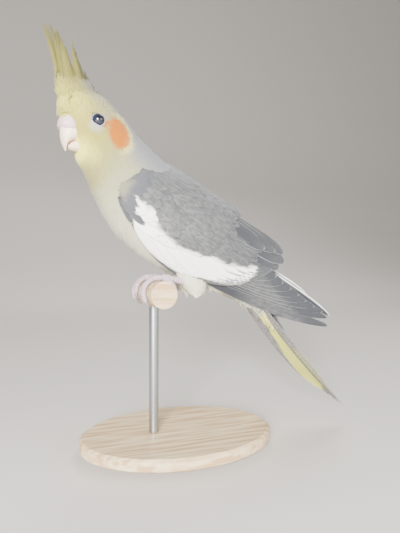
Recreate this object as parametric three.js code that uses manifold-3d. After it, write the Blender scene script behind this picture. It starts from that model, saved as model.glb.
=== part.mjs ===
// A life-size cockatiel that grips a short round perch on a plain display stand.
// Millimetres, +Z up. The bird faces -X and its left side faces -Y.
// The origin is the centre of the underside of the stand's base.
import * as THREE from "three";
import { mergeVertices } from "three/addons/utils/BufferGeometryUtils.js";
import Module from "manifold-3d";

const wasm = await Module();
wasm.setup();

// Driving dimensions
const GAP = 0.3; // between pieces that touch
const PERCH_HEIGHT = 95; // axis of the perch above the floor
const PERCH_RADIUS = 8;
const PERCH_LENGTH = 50;
const PERCH_X = -4; // the perch from the bird's own origin
const BASE_X = 12; // and the middle of the base
const HEAD_TURN = 18; // degrees towards the bird's left
const NECK_PIVOT = -22; // x of the upright axis that the head turns about
const RING_SIDES = 24;
const SEED = 22; // of the small differences between feathers
const TIP_VARIES = 0.5; // how far their tips stray, lengthwise
const LIFT_VARIES = 0.05; // and how far they stand off
const SLIVER = 0.04; // unions leave slivers; faces that lie this close to their neighbours are merged

// Sections of head, neck and trunk, from the forehead to the root of the tail. Each is an oval between
// a point of the upper outline and one of the lower outline, [x, height above the perch's axis].
const BODY = [
  { up: [-64.9, 105.0], low: [-62.0, 99.0], half: 3.8 },
  { up: [-64.2, 110.6], low: [-58.0, 91.5], half: 6.4 },
  { up: [-58.8, 115.8], low: [-54.3, 85.0], half: 9.0 },
  { up: [-49.0, 117.8], low: [-52.0, 78.5], half: 12.4 },
  { up: [-40.0, 116.8], low: [-48.8, 72.8], half: 13.9 },
  { up: [-31.5, 113.0], low: [-46.0, 67.2], half: 14.3 },
  { up: [-23.0, 106.2], low: [-43.2, 61.6], half: 15.0 },
  { up: [-14.6, 97.6], low: [-39.6, 55.6], half: 17.0 },
  { up: [-4.6, 88.8], low: [-35.5, 48.0], half: 19.3 },
  { up: [5.5, 80.6], low: [-29.5, 39.0], half: 20.8 },
  { up: [18.0, 72.6], low: [-21.0, 30.5], half: 21.6 },
  { up: [30.0, 64.4], low: [-10.0, 22.0], half: 21.8 },
  { up: [41.5, 55.8], low: [3.0, 14.5], half: 20.8 },
  { up: [51.5, 46.2], low: [17.0, 8.5], half: 18.3 },
  { up: [60.0, 36.0], low: [30.0, 4.0], half: 15.5 },
  { up: [67.0, 25.6], low: [42.0, 0.5], half: 12.5 },
  { up: [72.0, 15.6], low: [52.0, -3.4], half: 10.2 },
];
const HEAD_END = 5.4; // station where the head gives way to the neck
const NECK_END = 7.8; // and the neck to the trunk
const FULLNESS = 2.1; // exponent of the oval sections

// Looks
const finish = (color, roughness, metalness = 0) =>
  new THREE.MeshStandardMaterial({ color, roughness, metalness });
const PALE_GREY = finish("#c9c7bf", 0.9);
const FACE_CREAM = finish("#dcd7ae", 0.9);
const CREST_YELLOW = finish("#d6d2a8", 0.85);
const WING_GREY = finish("#8f9091", 0.8);
const TAIL_GREY = finish("#9b9b99", 0.8);
const BILL_PINK = finish("#ecd3c8", 0.45);
const CERE_PINK = finish("#e2cdd0", 0.6);
const EYE_DARK = finish("#1c2230", 0.08);
const LEG_PINK = finish("#c9aeb4", 0.7);
const CLAW_GREY = finish("#6d6468", 0.4);
const STAND_WOOD = finish("#cbb48c", 0.6);
const STAND_STEEL = finish("#9fa2a5", 0.35, 1);

// Tools that join and cut

// A closed geometry as a solid.
function solidOf(geometry) {
  const bare = new THREE.BufferGeometry();
  bare.setAttribute("position", geometry.getAttribute("position"));
  if (geometry.index) bare.setIndex(geometry.index);
  const merged = mergeVertices(bare, 1e-4);
  return new wasm.Manifold(
    new wasm.Mesh({
      numProp: 3,
      vertProperties: new Float32Array(merged.attributes.position.array),
      triVerts: new Uint32Array(merged.index.array),
    }),
  );
}

// The largest body of a solid, without loose scraps or sealed hollows.
function largestOf(solid) {
  const bodies = solid.decompose().sort((a, b) => b.volume() - a.volume());
  return bodies[0];
}

function joined(solids) {
  return wasm.Manifold.union(solids);
}

function geometryOf(solid) {
  const mesh = solid.getMesh();
  const geometry = new THREE.BufferGeometry();
  geometry.setAttribute("position", new THREE.BufferAttribute(mesh.vertProperties, 3));
  geometry.setIndex(new THREE.BufferAttribute(mesh.triVerts, 1));
  geometry.computeVertexNormals();
  return geometry;
}

const bird = new THREE.Group();
bird.position.z = PERCH_HEIGHT;
const stand = new THREE.Group();

function addSolid(name, solid, material, group = bird) {
  const mesh = new THREE.Mesh(geometryOf(largestOf(solid.asOriginal().simplify(SLIVER))), material);
  mesh.name = name;
  group.add(mesh);
  return mesh;
}

// Rings of equal length as one closed geometry with flat ends. In a sheet the second half of each ring is
// the underside, and its faces are split along the same diagonals as those above them.
function skinOf(rings, sheet = false) {
  const sides = rings[0].length;
  const positions = rings.flat().flatMap((v) => [v.x, v.y, v.z]);
  const faces = [];
  for (let r = 0; r + 1 < rings.length; r++)
    for (let k = 0; k < sides; k++) {
      const a = r * sides + k;
      const b = r * sides + ((k + 1) % sides);
      const under = sheet && k >= sides / 2;
      const c = under ? a + sides : b + sides;
      const d = under ? b : a;
      faces.push(a, b, c, d, b + sides, a + sides);
    }
  for (const [ring, back] of [[0, true], [rings.length - 1, false]]) {
    const middle = rings[ring].reduce((sum, v) => sum.add(v), new THREE.Vector3()).divideScalar(sides);
    const hub = positions.length / 3;
    positions.push(middle.x, middle.y, middle.z);
    for (let k = 0; k < sides; k++) {
      const a = ring * sides + k;
      const b = ring * sides + ((k + 1) % sides);
      faces.push(...(back ? [hub, b, a] : [hub, a, b]));
    }
  }
  const geometry = new THREE.BufferGeometry();
  geometry.setAttribute("position", new THREE.Float32BufferAttribute(positions, 3));
  geometry.setIndex(faces);
  return geometry;
}

function tubeOf(rings, sheet = false) {
  const solid = solidOf(skinOf(rings, sheet));
  return solid.volume() > 0 ? solid : solidOf(skinOf(rings.map((ring) => [...ring].reverse()), sheet));
}

THREE.MathUtils.seededRandom(SEED);

function vary(amount) {
  return amount * (2 * THREE.MathUtils.seededRandom() - 1);
}

// Rows of numbers spread evenly between key rows, the first and the last key included.
function rowsBetween(keys, count) {
  return Array.from({ length: count }, (_, i) => {
    const at = (i / (count - 1)) * (keys.length - 1);
    const k = Math.min(Math.floor(at), keys.length - 2);
    return keys[k].map((from, j) => THREE.MathUtils.lerp(from, keys[k + 1][j], at - k));
  });
}

// Widths of a feather from its root to its tip, as shares of the greatest half width
const ROUND_TIP = [0.62, 0.9, 1, 1, 0.84, 0.34];
const POINTED_TIP = [0.7, 0.92, 1, 0.9, 0.62, 0.14];

// A feather laid on a surface, where place(u, v, h) is a point u along it, v across it and h over it.
// root and tip are [u, v], lift the height over the surface at each, bow how far the shaft bends sideways.
function vane(place, { root, tip, half, lift, bow = 0, thick = 0.75, steps = 5, widths = ROUND_TIP }) {
  const start = new THREE.Vector2(...root);
  const shaft = new THREE.Vector2(tip[0] + vary(TIP_VARIES), tip[1]).sub(start);
  const raise = vary(LIFT_VARIES);
  const across = new THREE.Vector2(-shaft.y, shaft.x).normalize();
  const profile = new THREE.SplineCurve(widths.map((w, i) => new THREE.Vector2(i, w)));
  const rings = Array.from({ length: steps + 1 }, (_, i) => {
    const t = i / steps;
    const width = half * profile.getPoint(t).y;
    const depth = thick * (1 - 0.3 * t);
    const h = raise + THREE.MathUtils.lerp(lift[0], lift[1], t);
    const aside = bow * Math.sin(Math.PI * t);
    const middle = start.clone().addScaledVector(shaft, t).addScaledVector(across, aside);
    const at = (w, low) => {
      const c = middle.clone().addScaledVector(across, w * width);
      const edge = 0.2 * depth * Math.abs(w);
      return place(c.x, c.y, h - (low ? depth - edge : edge));
    };
    return [at(-1, false), at(0, false), at(1, false), at(1, true), at(0, true), at(-1, true)];
  });
  return tubeOf(rings, true);
}

// A closed form through oval sections, each between an upper and a lower point of the outline.
class OvalForm {
  constructor(sections, fullness = 2) {
    this.upper = new THREE.SplineCurve(sections.map((s) => new THREE.Vector2(...s.up)));
    this.lower = new THREE.SplineCurve(sections.map((s) => new THREE.Vector2(...s.low)));
    this.width = new THREE.SplineCurve(sections.map((s, i) => new THREE.Vector2(i, s.half)));
    this.last = sections.length - 1;
    this.fullness = fullness;
  }

  section(t) {
    const share = THREE.MathUtils.clamp(t / this.last, 0, 1);
    const up = this.upper.getPoint(share);
    const low = this.lower.getPoint(share);
    const centre = up.clone().add(low).multiplyScalar(0.5);
    return { centre, rise: up.clone().sub(centre), half: this.width.getPoint(share).y };
  }

  ring(t, grow = 0, sides = RING_SIDES) {
    const { centre, rise, half } = this.section(t);
    const depth = rise.length();
    const dir = rise.clone().divideScalar(depth);
    const round = (v) => Math.sign(v) * Math.abs(v) ** (2 / this.fullness);
    return Array.from({ length: sides }, (_, k) => {
      const a = (k / sides) * 2 * Math.PI;
      const high = round(Math.cos(a)) * (depth + grow);
      const wide = round(Math.sin(a)) * (half + grow);
      return new THREE.Vector3(centre.x + dir.x * high, wide, centre.y + dir.y * high);
    });
  }

  // The form from station a to station b, larger all round by grow.
  solid({ from = 0, to = this.last, steps, grow = 0, sides = RING_SIDES, pose = (v) => v }) {
    const rings = Array.from({ length: steps + 1 }, (_, i) => {
      const t = from + ((to - from) * i) / steps;
      return this.ring(t, grow, sides).map((v) => pose(v, t));
    });
    return tubeOf(rings);
  }
}

// Pose of the head: a turn about the neck's upright axis that fades out down the neck
function turned(v, share) {
  const a = THREE.MathUtils.degToRad(HEAD_TURN) * share;
  const x = v.x - NECK_PIVOT;
  const cos = Math.cos(a);
  const sin = Math.sin(a);
  return new THREE.Vector3(NECK_PIVOT + x * cos - v.y * sin, x * sin + v.y * cos, v.z);
}
const TURN_FULL_TO = 4.5;
const TURN_GONE_AT = 9.5;
const turnShare = (t) => 1 - THREE.MathUtils.smoothstep(t, TURN_FULL_TO, TURN_GONE_AT);
const bodyForm = new OvalForm(BODY, FULLNESS);
const bodyPose = (v, t) => turned(v, turnShare(t));
const headMatrix = new THREE.Matrix4()
  .makeTranslation(NECK_PIVOT, 0, 0)
  .multiply(new THREE.Matrix4().makeRotationZ(THREE.MathUtils.degToRad(HEAD_TURN)))
  .multiply(new THREE.Matrix4().makeTranslation(-NECK_PIVOT, 0, 0));
const onHead = (solid) => solid.transform(headMatrix.elements);

// Head, neck and trunk are modelled whole and parted by thin cuts
const BODY_STEPS = 34;
const wholeBody = bodyForm.solid({ steps: BODY_STEPS, pose: bodyPose });
const grownBody = bodyForm.solid({ steps: BODY_STEPS, grow: GAP, pose: bodyPose });

// A slab as thick as the gap, in the plane of a body section.
function slabAt(t) {
  const ring = bodyForm.ring(t).map((v) => bodyPose(v, t));
  const middle = ring.reduce((s, v) => s.add(v), new THREE.Vector3()).divideScalar(ring.length);
  const rise = ring[0].clone().sub(middle).normalize();
  const side = ring[RING_SIDES / 4].clone().sub(middle).normalize();
  const matrix = new THREE.Matrix4().makeBasis(new THREE.Vector3().crossVectors(side, rise), side, rise);
  matrix.setPosition(middle);
  return { slab: solidOf(new THREE.BoxGeometry(GAP, 120, 120)).transform(matrix.elements), middle };
}

const parted = wholeBody.subtract(joined([slabAt(HEAD_END).slab, slabAt(NECK_END).slab]));
const bodies = parted.decompose().sort((a, b) => meanX(a) - meanX(b));
function meanX(solid) {
  const box = solid.boundingBox();
  return (box.min[0] + box.max[0]) / 2;
}
const [headCore, neckCore, trunkCore] = bodies;

// Bill and cere, in the head's own frame
const UPPER_BILL = new OvalForm([
  { up: [-54.0, 103.0], low: [-45.0, 91.4], half: 6.4 },
  { up: [-61.2, 99.8], low: [-50.6, 90.4], half: 6.6 },
  { up: [-63.2, 95.0], low: [-54.8, 89.0], half: 5.6 },
  { up: [-63.2, 90.6], low: [-58.2, 87.6], half: 4.2 },
  { up: [-62.1, 86.2], low: [-59.8, 85.4], half: 2.6 },
  { up: [-60.6, 82.4], low: [-60.0, 82.9], half: 0.5 },
]);
const LOWER_BILL = new OvalForm([
  { up: [-48.0, 91.5], low: [-47.5, 83.2], half: 4.8 },
  { up: [-53.4, 91.0], low: [-52.2, 82.4], half: 4.8 },
  { up: [-57.4, 88.8], low: [-56.5, 82.2], half: 4.0 },
  { up: [-60.0, 85.8], low: [-59.3, 83.4], half: 2.3 },
]);
const CERE = new OvalForm([
  { up: [-55.0, 105.4], low: [-51.6, 93.6], half: 6.9 },
  { up: [-59.5, 104.4], low: [-54.4, 92.2], half: 7.4 },
  { up: [-63.0, 101.8], low: [-57.4, 91.8], half: 7.1 },
  { up: [-64.6, 98.0], low: [-61.6, 93.6], half: 4.9 },
]);
const BILL_SIDES = 14;
const bill = (form, steps, grow = 0) => onHead(form.solid({ steps, grow, sides: BILL_SIDES }));
const upperBill = bill(UPPER_BILL, 9);
const grownUpper = bill(UPPER_BILL, 9, GAP);
const lowerBill = bill(LOWER_BILL, 5).subtract(grownUpper);
const NOSTRIL = { x: -62.6, y: 3.6, z: 101.0, radius: 0.9 };
const nostrils = [-1, 1].map((side) =>
  onHead(
    solidOf(new THREE.SphereGeometry(NOSTRIL.radius, 8, 6).translate(NOSTRIL.x, side * NOSTRIL.y, NOSTRIL.z)),
  ),
);
const cere = bill(CERE, 5).subtract(grownUpper).subtract(joined(nostrils));

// Eyes: a ball in a socket, inside a raised ring of bare skin
const EYE = { x: -45.3, y: 10.3, z: 100.4, radius: 4.0, ringRadius: 3.75, ringThick: 0.7, ringOut: 2.0 };
const EYE_FORWARD = 12; // degrees that the eye looks forward of square
const eyes = [-1, 1].map((side) => {
  const look = new THREE.Matrix4()
    .makeTranslation(EYE.x, side * EYE.y, EYE.z)
    .multiply(new THREE.Matrix4().makeRotationZ(-side * THREE.MathUtils.degToRad(EYE_FORWARD)))
    .multiply(new THREE.Matrix4().makeRotationX(-side * Math.PI * 0.5));
  const place = (geometry) => onHead(solidOf(geometry.applyMatrix4(look)));
  return {
    side,
    ball: place(new THREE.SphereGeometry(EYE.radius, 14, 9)),
    socket: place(new THREE.SphereGeometry(EYE.radius + GAP, 14, 9)),
    ring: place(new THREE.TorusGeometry(EYE.ringRadius, EYE.ringThick, 6, 18).translate(0, 0, EYE.ringOut)),
  };
});

// The crown is cut off the head and carries the crest
const CROWN_CUT = { x: -50, z: 112.6, slope: 6 };
const crownSlab = (thick, lift) =>
  onHead(
    solidOf(
      new THREE.BoxGeometry(60, 60, thick)
        .rotateY(-THREE.MathUtils.degToRad(CROWN_CUT.slope))
        .translate(CROWN_CUT.x, 0, CROWN_CUT.z + lift),
    ),
  );
const head = joined([headCore, ...eyes.map((e) => e.ring)])
  .subtract(joined(eyes.map((e) => e.socket)))
  .subtract(joined([grownUpper, bill(LOWER_BILL, 5, GAP), bill(CERE, 5, GAP)]));
const CROWN_THICK = 40;
const crown = head.intersect(crownSlab(CROWN_THICK, CROWN_THICK / 2 + GAP / 2));
const skull = head.subtract(crownSlab(CROWN_THICK, CROWN_THICK / 2 - GAP / 2));

// Crest: a low mound of short feathers, and long ones that stand in two groups, the taller one in front.
const MOUND = new OvalForm([
  { up: [-38.0, 110.0], low: [-62.4, 104.0], half: 7.4 },
  { up: [-41.5, 118.6], low: [-65.2, 112.5], half: 6.6 },
  { up: [-46.5, 124.0], low: [-66.0, 119.5], half: 4.6 },
  { up: [-53.0, 129.0], low: [-64.6, 127.0], half: 2.0 },
]);
// Key rows of each group: x and height of a feather's root and of its tip, its bend and its half width
const PLUME_GROUPS = [
  {
    count: 7,
    spread: 2.4,
    keys: [
      [-63.2, 110, -73.6, 152.6, -3.8, 2.7],
      [-60.6, 110, -66.4, 149.4, -2.8, 2.9],
      [-55.0, 110, -58.6, 136.0, -1.0, 2.8],
    ],
  },
  {
    count: 5,
    spread: 2.2,
    keys: [
      [-51.5, 111, -56.6, 151.0, 1.0, 2.0],
      [-50.0, 111, -54.2, 142.0, 1.4, 2.6],
      [-43.6, 111, -46.4, 128.0, 0.6, 2.4],
    ],
  },
];
const PLUME_TURN = 2.4; // radians from one plume's place across the head to the next one's
const PLUME_THICK = 1.2;
function plumesOf({ count, spread, keys }) {
  return rowsBetween(keys, count).map(([rootX, rootZ, tipX, tipZ, bow, half], i) => {
    const y = spread * Math.sin(PLUME_TURN * i);
    const place = (u, v, h) => new THREE.Vector3(u, y + h, v);
    const shape = { half, bow, lift: [0.5, 0.4], thick: PLUME_THICK, widths: POINTED_TIP };
    return vane(place, { root: [rootX, rootZ], tip: [tipX, tipZ], ...shape });
  });
}
const plumes = PLUME_GROUPS.flatMap(plumesOf);
const overCut = crownSlab(CROWN_THICK * 3, CROWN_THICK * 1.5 + GAP / 2);
const tuft = onHead(joined([MOUND.solid({ steps: 4, sides: 12 }), ...plumes])).intersect(overCut);
const crest = joined([crown, tuft]);

// Tail: s runs down its curved axis, y across it and h over its plane
const TAIL_AXIS = new THREE.QuadraticBezierCurve(
  new THREE.Vector2(56, 7.5),
  new THREE.Vector2(98, -50),
  new THREE.Vector2(137.5, -85.2),
);
const TAIL_LENGTH = TAIL_AXIS.getLength();
const TAIL_ROLL = 4; // degrees that its right side hangs lower
function tailPoint(s, y, h) {
  const at = TAIL_AXIS.getPointAt(THREE.MathUtils.clamp(s / TAIL_LENGTH, 0, 1));
  const dir = TAIL_AXIS.getTangentAt(THREE.MathUtils.clamp(s / TAIL_LENGTH, 0, 1));
  const over = Math.max(s - TAIL_LENGTH, 0) + Math.min(s, 0);
  const roll = THREE.MathUtils.degToRad(TAIL_ROLL);
  const rise = h * Math.cos(roll) - y * Math.sin(roll);
  return new THREE.Vector3(
    at.x + dir.x * over - dir.y * rise,
    y * Math.cos(roll) + h * Math.sin(roll),
    at.y + dir.y * over + dir.x * rise,
  );
}
function tailOval(s, half, over, under, sides = 20) {
  return Array.from({ length: sides }, (_, k) => {
    const a = (k / sides) * 2 * Math.PI;
    const h = Math.cos(a) > 0 ? over * Math.cos(a) : under * Math.cos(a);
    return tailPoint(s, half * Math.sin(a), h);
  });
}
// The coverts at its root: distance down the tail, half width, and depth over and under its plane
const TAIL_ROOT = [
  [-4, 8.5, 9, 10],
  [8, 11.0, 8.0, 9.8],
  [22, 13.5, 5.6, 7.6],
  [36, 14.0, 4.2, 4.6],
  [48, 11.0, 2.6, 2.4],
  [60, 5.5, 1.2, 0.8],
];
// Tail feathers in pairs, from the middle pair outwards; each pair is shorter, wider and lies lower
const RECTRIX = {
  pairs: 6,
  root: 18, // distance down the tail
  place: [1.6, 2.4], // the middle pair's distance from the axis, and how much further each next pair lies
  tipPlace: [1.4, 2.2],
  half: [3.5, 0.2],
  shorter: 5.1,
  shorterAtOnce: 3, // from the middle pair to the second one
  lift: [0.8, -0.42],
  tipLift: [1.0, -0.5],
  leftOver: 0.12, // the left one of a pair lies over the right one
  bow: 0.32,
  thick: 0.8,
};
const stepped = ([first, step], k) => first + step * k;
function rectrix(k, side) {
  const over = side > 0 ? 0 : RECTRIX.leftOver;
  const end = TAIL_LENGTH - (k > 0 ? RECTRIX.shorterAtOnce + RECTRIX.shorter * k : 0);
  return vane(tailPoint, {
    root: [RECTRIX.root + k, side * stepped(RECTRIX.place, k) * 0.86],
    tip: [end, side * stepped(RECTRIX.tipPlace, k)],
    bow: side * RECTRIX.bow * k,
    half: stepped(RECTRIX.half, k),
    lift: [stepped(RECTRIX.lift, k) + over, stepped(RECTRIX.tipLift, k) + over],
    thick: RECTRIX.thick,
    widths: POINTED_TIP,
  });
}
const rectrices = Array.from({ length: RECTRIX.pairs }, (_, k) => [rectrix(k, -1), rectrix(k, 1)]).flat();
const tailRoot = tubeOf(TAIL_ROOT.map((row) => tailOval(...row)));
const grownRoot = TAIL_ROOT.map(([s, ...sizes]) => [s, ...sizes.map((size) => size + GAP)]);
const grownTail = tubeOf(grownRoot.map((row) => tailOval(...row)));
const tail = joined([tailRoot, ...rectrices]).subtract(grownBody);

// Folded wing: p runs down it from the bend to the tip, q across it. Each rib tells how far the wing's face
// stands out from the midline at three levels of q, and the outline gives the edges of its fleshy part.
const WING_BEND = [-28.6, 61.4];
const WING_SLOPE = 28;
const RIB_LEVELS = [-24, 2, 28];
const RIBS = [
  { p: -2, out: [17.0, 22.5, 10.0] },
  { p: 8, out: [17.5, 25.5, 8.0] },
  { p: 25, out: [16.0, 26.6, 11.0] },
  { p: 55, out: [14.5, 26.0, 9.0] },
  { p: 90, out: [13.0, 20.5, 5.5] },
  { p: 117, out: [12.0, 15.5, 4.0] },
  { p: 145, out: [10.0, 11.0, 3.0] },
  { p: 174, out: [6.5, 8.0, 3.0] },
];
const OUTLINE = [
  { p: -2, edge: [-2.5, 3.5] },
  { p: 3, edge: [-8, 13] },
  { p: 10, edge: [-13.5, 22] },
  { p: 25, edge: [-21, 30] },
  { p: 55, edge: [-24.5, 31.5] },
  { p: 80, edge: [-21, 28.5] },
  { p: 106, edge: [-13, 24] },
];
const spline = (rows, value) => new THREE.SplineCurve(rows.map((r) => new THREE.Vector2(r.p, value(r))));
const FACE_CURVES = [0, 1, 2].map((i) => spline(RIBS, (r) => r.out[i]));
const EDGE_CURVES = [0, 1].map((i) => spline(OUTLINE, (r) => r.edge[i]));
// The value of a curve through rows, at a distance p down the wing.
function valueAt(curve, rows, p) {
  const last = rows.length - 1;
  const next = rows.findIndex((r) => r.p > p);
  const i = next < 0 ? last - 1 : Math.max(next - 1, 0);
  const share = (i + (p - rows[i].p) / (rows[i + 1].p - rows[i].p)) / last;
  return curve.getPoint(THREE.MathUtils.clamp(share, 0, 1)).y;
}
const wingDir = new THREE.Vector2(
  Math.cos(THREE.MathUtils.degToRad(WING_SLOPE)),
  -Math.sin(THREE.MathUtils.degToRad(WING_SLOPE)),
);
const wingUp = new THREE.Vector2(-wingDir.y, wingDir.x);

// The left wing's outer face at p, q.
function wingFace(p, q) {
  const [a, b, c] = FACE_CURVES.map((curve) => valueAt(curve, RIBS, p));
  const v = (q - RIB_LEVELS[1]) / (RIB_LEVELS[2] - RIB_LEVELS[1]);
  const out = b + ((c - a) / 2) * v + ((a + c) / 2 - b) * v * v;
  return new THREE.Vector3(
    WING_BEND[0] + wingDir.x * p + wingUp.x * q,
    -out,
    WING_BEND[1] + wingDir.y * p + wingUp.y * q,
  );
}

// A point at a height over the wing's outer face.
function overWing(p, q, h) {
  const d = 0.5;
  const down = wingFace(p + d, q).sub(wingFace(p - d, q));
  const across = wingFace(p, q + d).sub(wingFace(p, q - d));
  const normal = down.cross(across).normalize();
  if (normal.y > 0) normal.negate();
  return wingFace(p, q).addScaledVector(normal, h);
}

// The fleshy part: a sheet thickest inwards of its middle and thin at its edges.
function wingArm({ from, to, steps, columns, thick, edge }) {
  const rings = [];
  for (let i = 0; i <= steps; i++) {
    const p = from + ((to - from) * i) / steps;
    const [low, high] = EDGE_CURVES.map((curve) => valueAt(curve, OUTLINE, p));
    const outer = [];
    const inner = [];
    for (let k = 0; k <= columns; k++) {
      const v = -1 + (2 * k) / columns;
      const q = low + ((high - low) * (v + 1)) / 2;
      outer.push(overWing(p, q, 0));
      inner.push(overWing(p, q, -edge - (thick(p) - edge) * Math.sqrt(1 - v * v)));
    }
    rings.push([...outer, ...inner.reverse()]);
  }
  return tubeOf(rings, true);
}
const WING_THICK = (p) => 1.6 + 4.4 * (1 - THREE.MathUtils.smoothstep(p, 45, 110));
const arm = wingArm({ from: -2, to: 106, steps: 11, columns: 5, thick: WING_THICK, edge: 0.9 });

// Flight feathers and coverts in tiers. Key rows: root p, q, tip p, q, half width and sideways bend; lift
// gives the height of root and tip over the wing's face for each feather.
const TIERS = [
  {
    name: "primaries", // innermost and uppermost first
    count: 6,
    lift: (k) => [-1.2 - 0.3 * k, 0.2 - 0.42 * k],
    steps: 6,
    keys: [
      [62, -8, 116, 3.6, 6.4, -1.0],
      [48, -19.5, 170, 0.4, 5.0, -2.6],
    ],
  },
  {
    name: "outermost primaries",
    count: 2,
    lift: (k) => [-2.9 - 0.2 * k, -2.1 - 0.2 * k],
    steps: 6,
    keys: [
      [45, -21.5, 174.5, -5.2, 4.2, -3.4],
      [44, -22.5, 175, -6.6, 4.0, -3.8],
    ],
  },
  {
    name: "secondaries", // lowest first
    count: 4,
    lift: (k) => [-0.5, 0.1 + 0.14 * k],
    steps: 4,
    keys: [
      [36, -18, 98, -8.0, 5.8, -5.0],
      [54, -1, 111, 6.0, 6.6, -2.6],
    ],
  },
  {
    name: "tertials", // lowest first
    count: 5,
    lift: (k) => [-0.5, 0.55 + 0.18 * k],
    steps: 4,
    keys: [
      [58, 6, 119.4, 15.2, 7.2, -1.0],
      [56, 23, 118.0, 25.0, 6.4, 1.6],
      [54, 20, 108, 21.6, 6.8, 0.8],
    ],
  },
  {
    name: "greater coverts", // lowest first
    count: 7,
    lift: () => [-0.5, 0.5],
    steps: 3,
    keys: [
      [8, -9, 46, -23.6, 5.0, -1.6],
      [24, -9.5, 67, -22.4, 5.3, -2.1],
      [45, -2, 88, -10.5, 5.8, -1.8],
      [56, 9, 97, 3.0, 6.4, -0.8],
    ],
  },
  {
    name: "median coverts",
    count: 4,
    lift: () => [-0.4, 0.75],
    steps: 3,
    keys: [
      [6, -2, 38, -14.4, 6.2, -1.2],
      [29, 3, 64, -8.0, 6.7, -1.1],
      [43, 18, 84, 10.6, 7.2, 0],
    ],
  },
  {
    name: "scapulars",
    count: 2,
    lift: () => [-0.3, 1.0],
    steps: 3,
    keys: [
      [22, 18, 62, 14.0, 7.4, 0],
      [20, 26, 72, 24.6, 7.0, 0.6],
    ],
  },
];
const feathers = TIERS.flatMap(({ count, lift, steps, keys }) =>
  rowsBetween(keys, count).map(([rootP, rootQ, tipP, tipQ, half, bow], k) =>
    vane(overWing, { root: [rootP, rootQ], tip: [tipP, tipQ], half, bow, steps, lift: lift(k) }),
  ),
);
const leftWing = joined([arm, ...feathers]);
// The right wing lies a little further back and higher than the left one
const RIGHT_SLIDE = 8;
const RIGHT_RISE = 1.0; // degrees
const rightPose = new THREE.Matrix4()
  .makeTranslation(WING_BEND[0] + wingDir.x * RIGHT_SLIDE, 0, WING_BEND[1] + wingDir.y * RIGHT_SLIDE)
  .multiply(new THREE.Matrix4().makeRotationY(-THREE.MathUtils.degToRad(RIGHT_RISE)))
  .multiply(new THREE.Matrix4().makeTranslation(-WING_BEND[0], 0, -WING_BEND[1]))
  .multiply(new THREE.Matrix4().makeScale(1, -1, 1));
const sideSpace = (side) =>
  solidOf(new THREE.BoxGeometry(400, 100, 400).translate(0, side * (50 + GAP / 2), 0));
const wingOf = (side) =>
  (side < 0 ? leftWing : leftWing.transform(rightPose.elements))
    .intersect(sideSpace(side))
    .subtract(joined([grownBody, grownTail, thighSolid(side, GAP)]));

// Legs and feet
const FOOT_Y = 11;
const THIGH = new OvalForm([
  { up: [3, 26], low: [19, 24], half: 5.0 },
  { up: [6, 16], low: [25, 15], half: 5.4 },
  { up: [12, 6.5], low: [27, 4.5], half: 4.8 },
  { up: [17, 0.5], low: [24, -0.5], half: 2.6 },
]);
const TARSUS = [
  { at: [15, 6.6], radius: 2.4 },
  { at: [7, 8.8], radius: 2.1 },
  { at: [-2, 10.6], radius: 2.5 },
];
// Toes as arcs round the perch: degrees from the top, forwards positive, and how far they stray sideways.
const TOES = [
  { name: "2", from: -8, to: 92, start: -1.2, end: 2.6, radius: 1.9 },
  { name: "3", from: -8, to: 116, start: 0.8, end: -4.4, radius: 2.0 },
  { name: "1", from: 8, to: -78, start: -1.0, end: 2.4, radius: 1.8 },
  { name: "4", from: 8, to: -108, start: 1.0, end: -6.0, radius: 1.9 },
];
const CLAW_TURN = 34; // degrees of arc that a claw takes
function toeRing(angle, y, radius, orbit, sides) {
  const a = THREE.MathUtils.degToRad(angle);
  const out = new THREE.Vector3(-Math.sin(a), 0, Math.cos(a));
  return Array.from({ length: sides }, (_, k) => {
    const b = (k / sides) * 2 * Math.PI;
    return new THREE.Vector3(PERCH_X, y, 0)
      .addScaledVector(out, orbit + radius * Math.cos(b))
      .add(new THREE.Vector3(0, radius * Math.sin(b), 0));
  });
}
function toeSolid(toe, side) {
  const steps = 6;
  const rings = Array.from({ length: steps + 1 }, (_, i) => {
    const t = i / steps;
    const angle = THREE.MathUtils.lerp(toe.from, toe.to, t);
    const radius = toe.radius * (1 - 0.28 * t);
    const y = side * (FOOT_Y - THREE.MathUtils.lerp(toe.start, toe.end, t));
    return toeRing(angle, y, radius, PERCH_RADIUS + GAP + radius, 8);
  });
  return tubeOf(rings);
}
function clawSolid(toe, side) {
  const steps = 4;
  const sign = Math.sign(toe.to);
  const gapTurn = THREE.MathUtils.radToDeg(GAP / (PERCH_RADIUS + toe.radius));
  const rings = Array.from({ length: steps + 1 }, (_, i) => {
    const t = i / steps;
    const angle = toe.to + sign * (gapTurn + CLAW_TURN * t);
    const radius = THREE.MathUtils.lerp(1.15, 0.25, t);
    const y = side * (FOOT_Y - toe.end);
    const orbit = PERCH_RADIUS + GAP + THREE.MathUtils.lerp(toe.radius * 0.72, 0.4, t * t);
    return toeRing(angle, y, radius, Math.max(orbit, PERCH_RADIUS + GAP + radius), 6);
  });
  return tubeOf(rings);
}
function tarsusSolid(side) {
  const rings = TARSUS.map(({ at, radius }, i) => {
    const next = TARSUS[Math.min(i + 1, TARSUS.length - 1)].at;
    const last = TARSUS[Math.max(i - 1, 0)].at;
    const dir = new THREE.Vector2(next[0] - last[0], next[1] - last[1]).normalize();
    return Array.from({ length: 12 }, (_, k) => {
      const b = (k / 12) * 2 * Math.PI;
      return new THREE.Vector3(
        at[0] - dir.y * radius * Math.cos(b),
        side * FOOT_Y + radius * Math.sin(b),
        at[1] + dir.x * radius * Math.cos(b),
      );
    });
  });
  return tubeOf(rings);
}
function thighSolid(side, grow = 0) {
  return THIGH.solid({ steps: 6, sides: 14, grow }).translate([0, side * 9.6, 0]);
}

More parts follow.
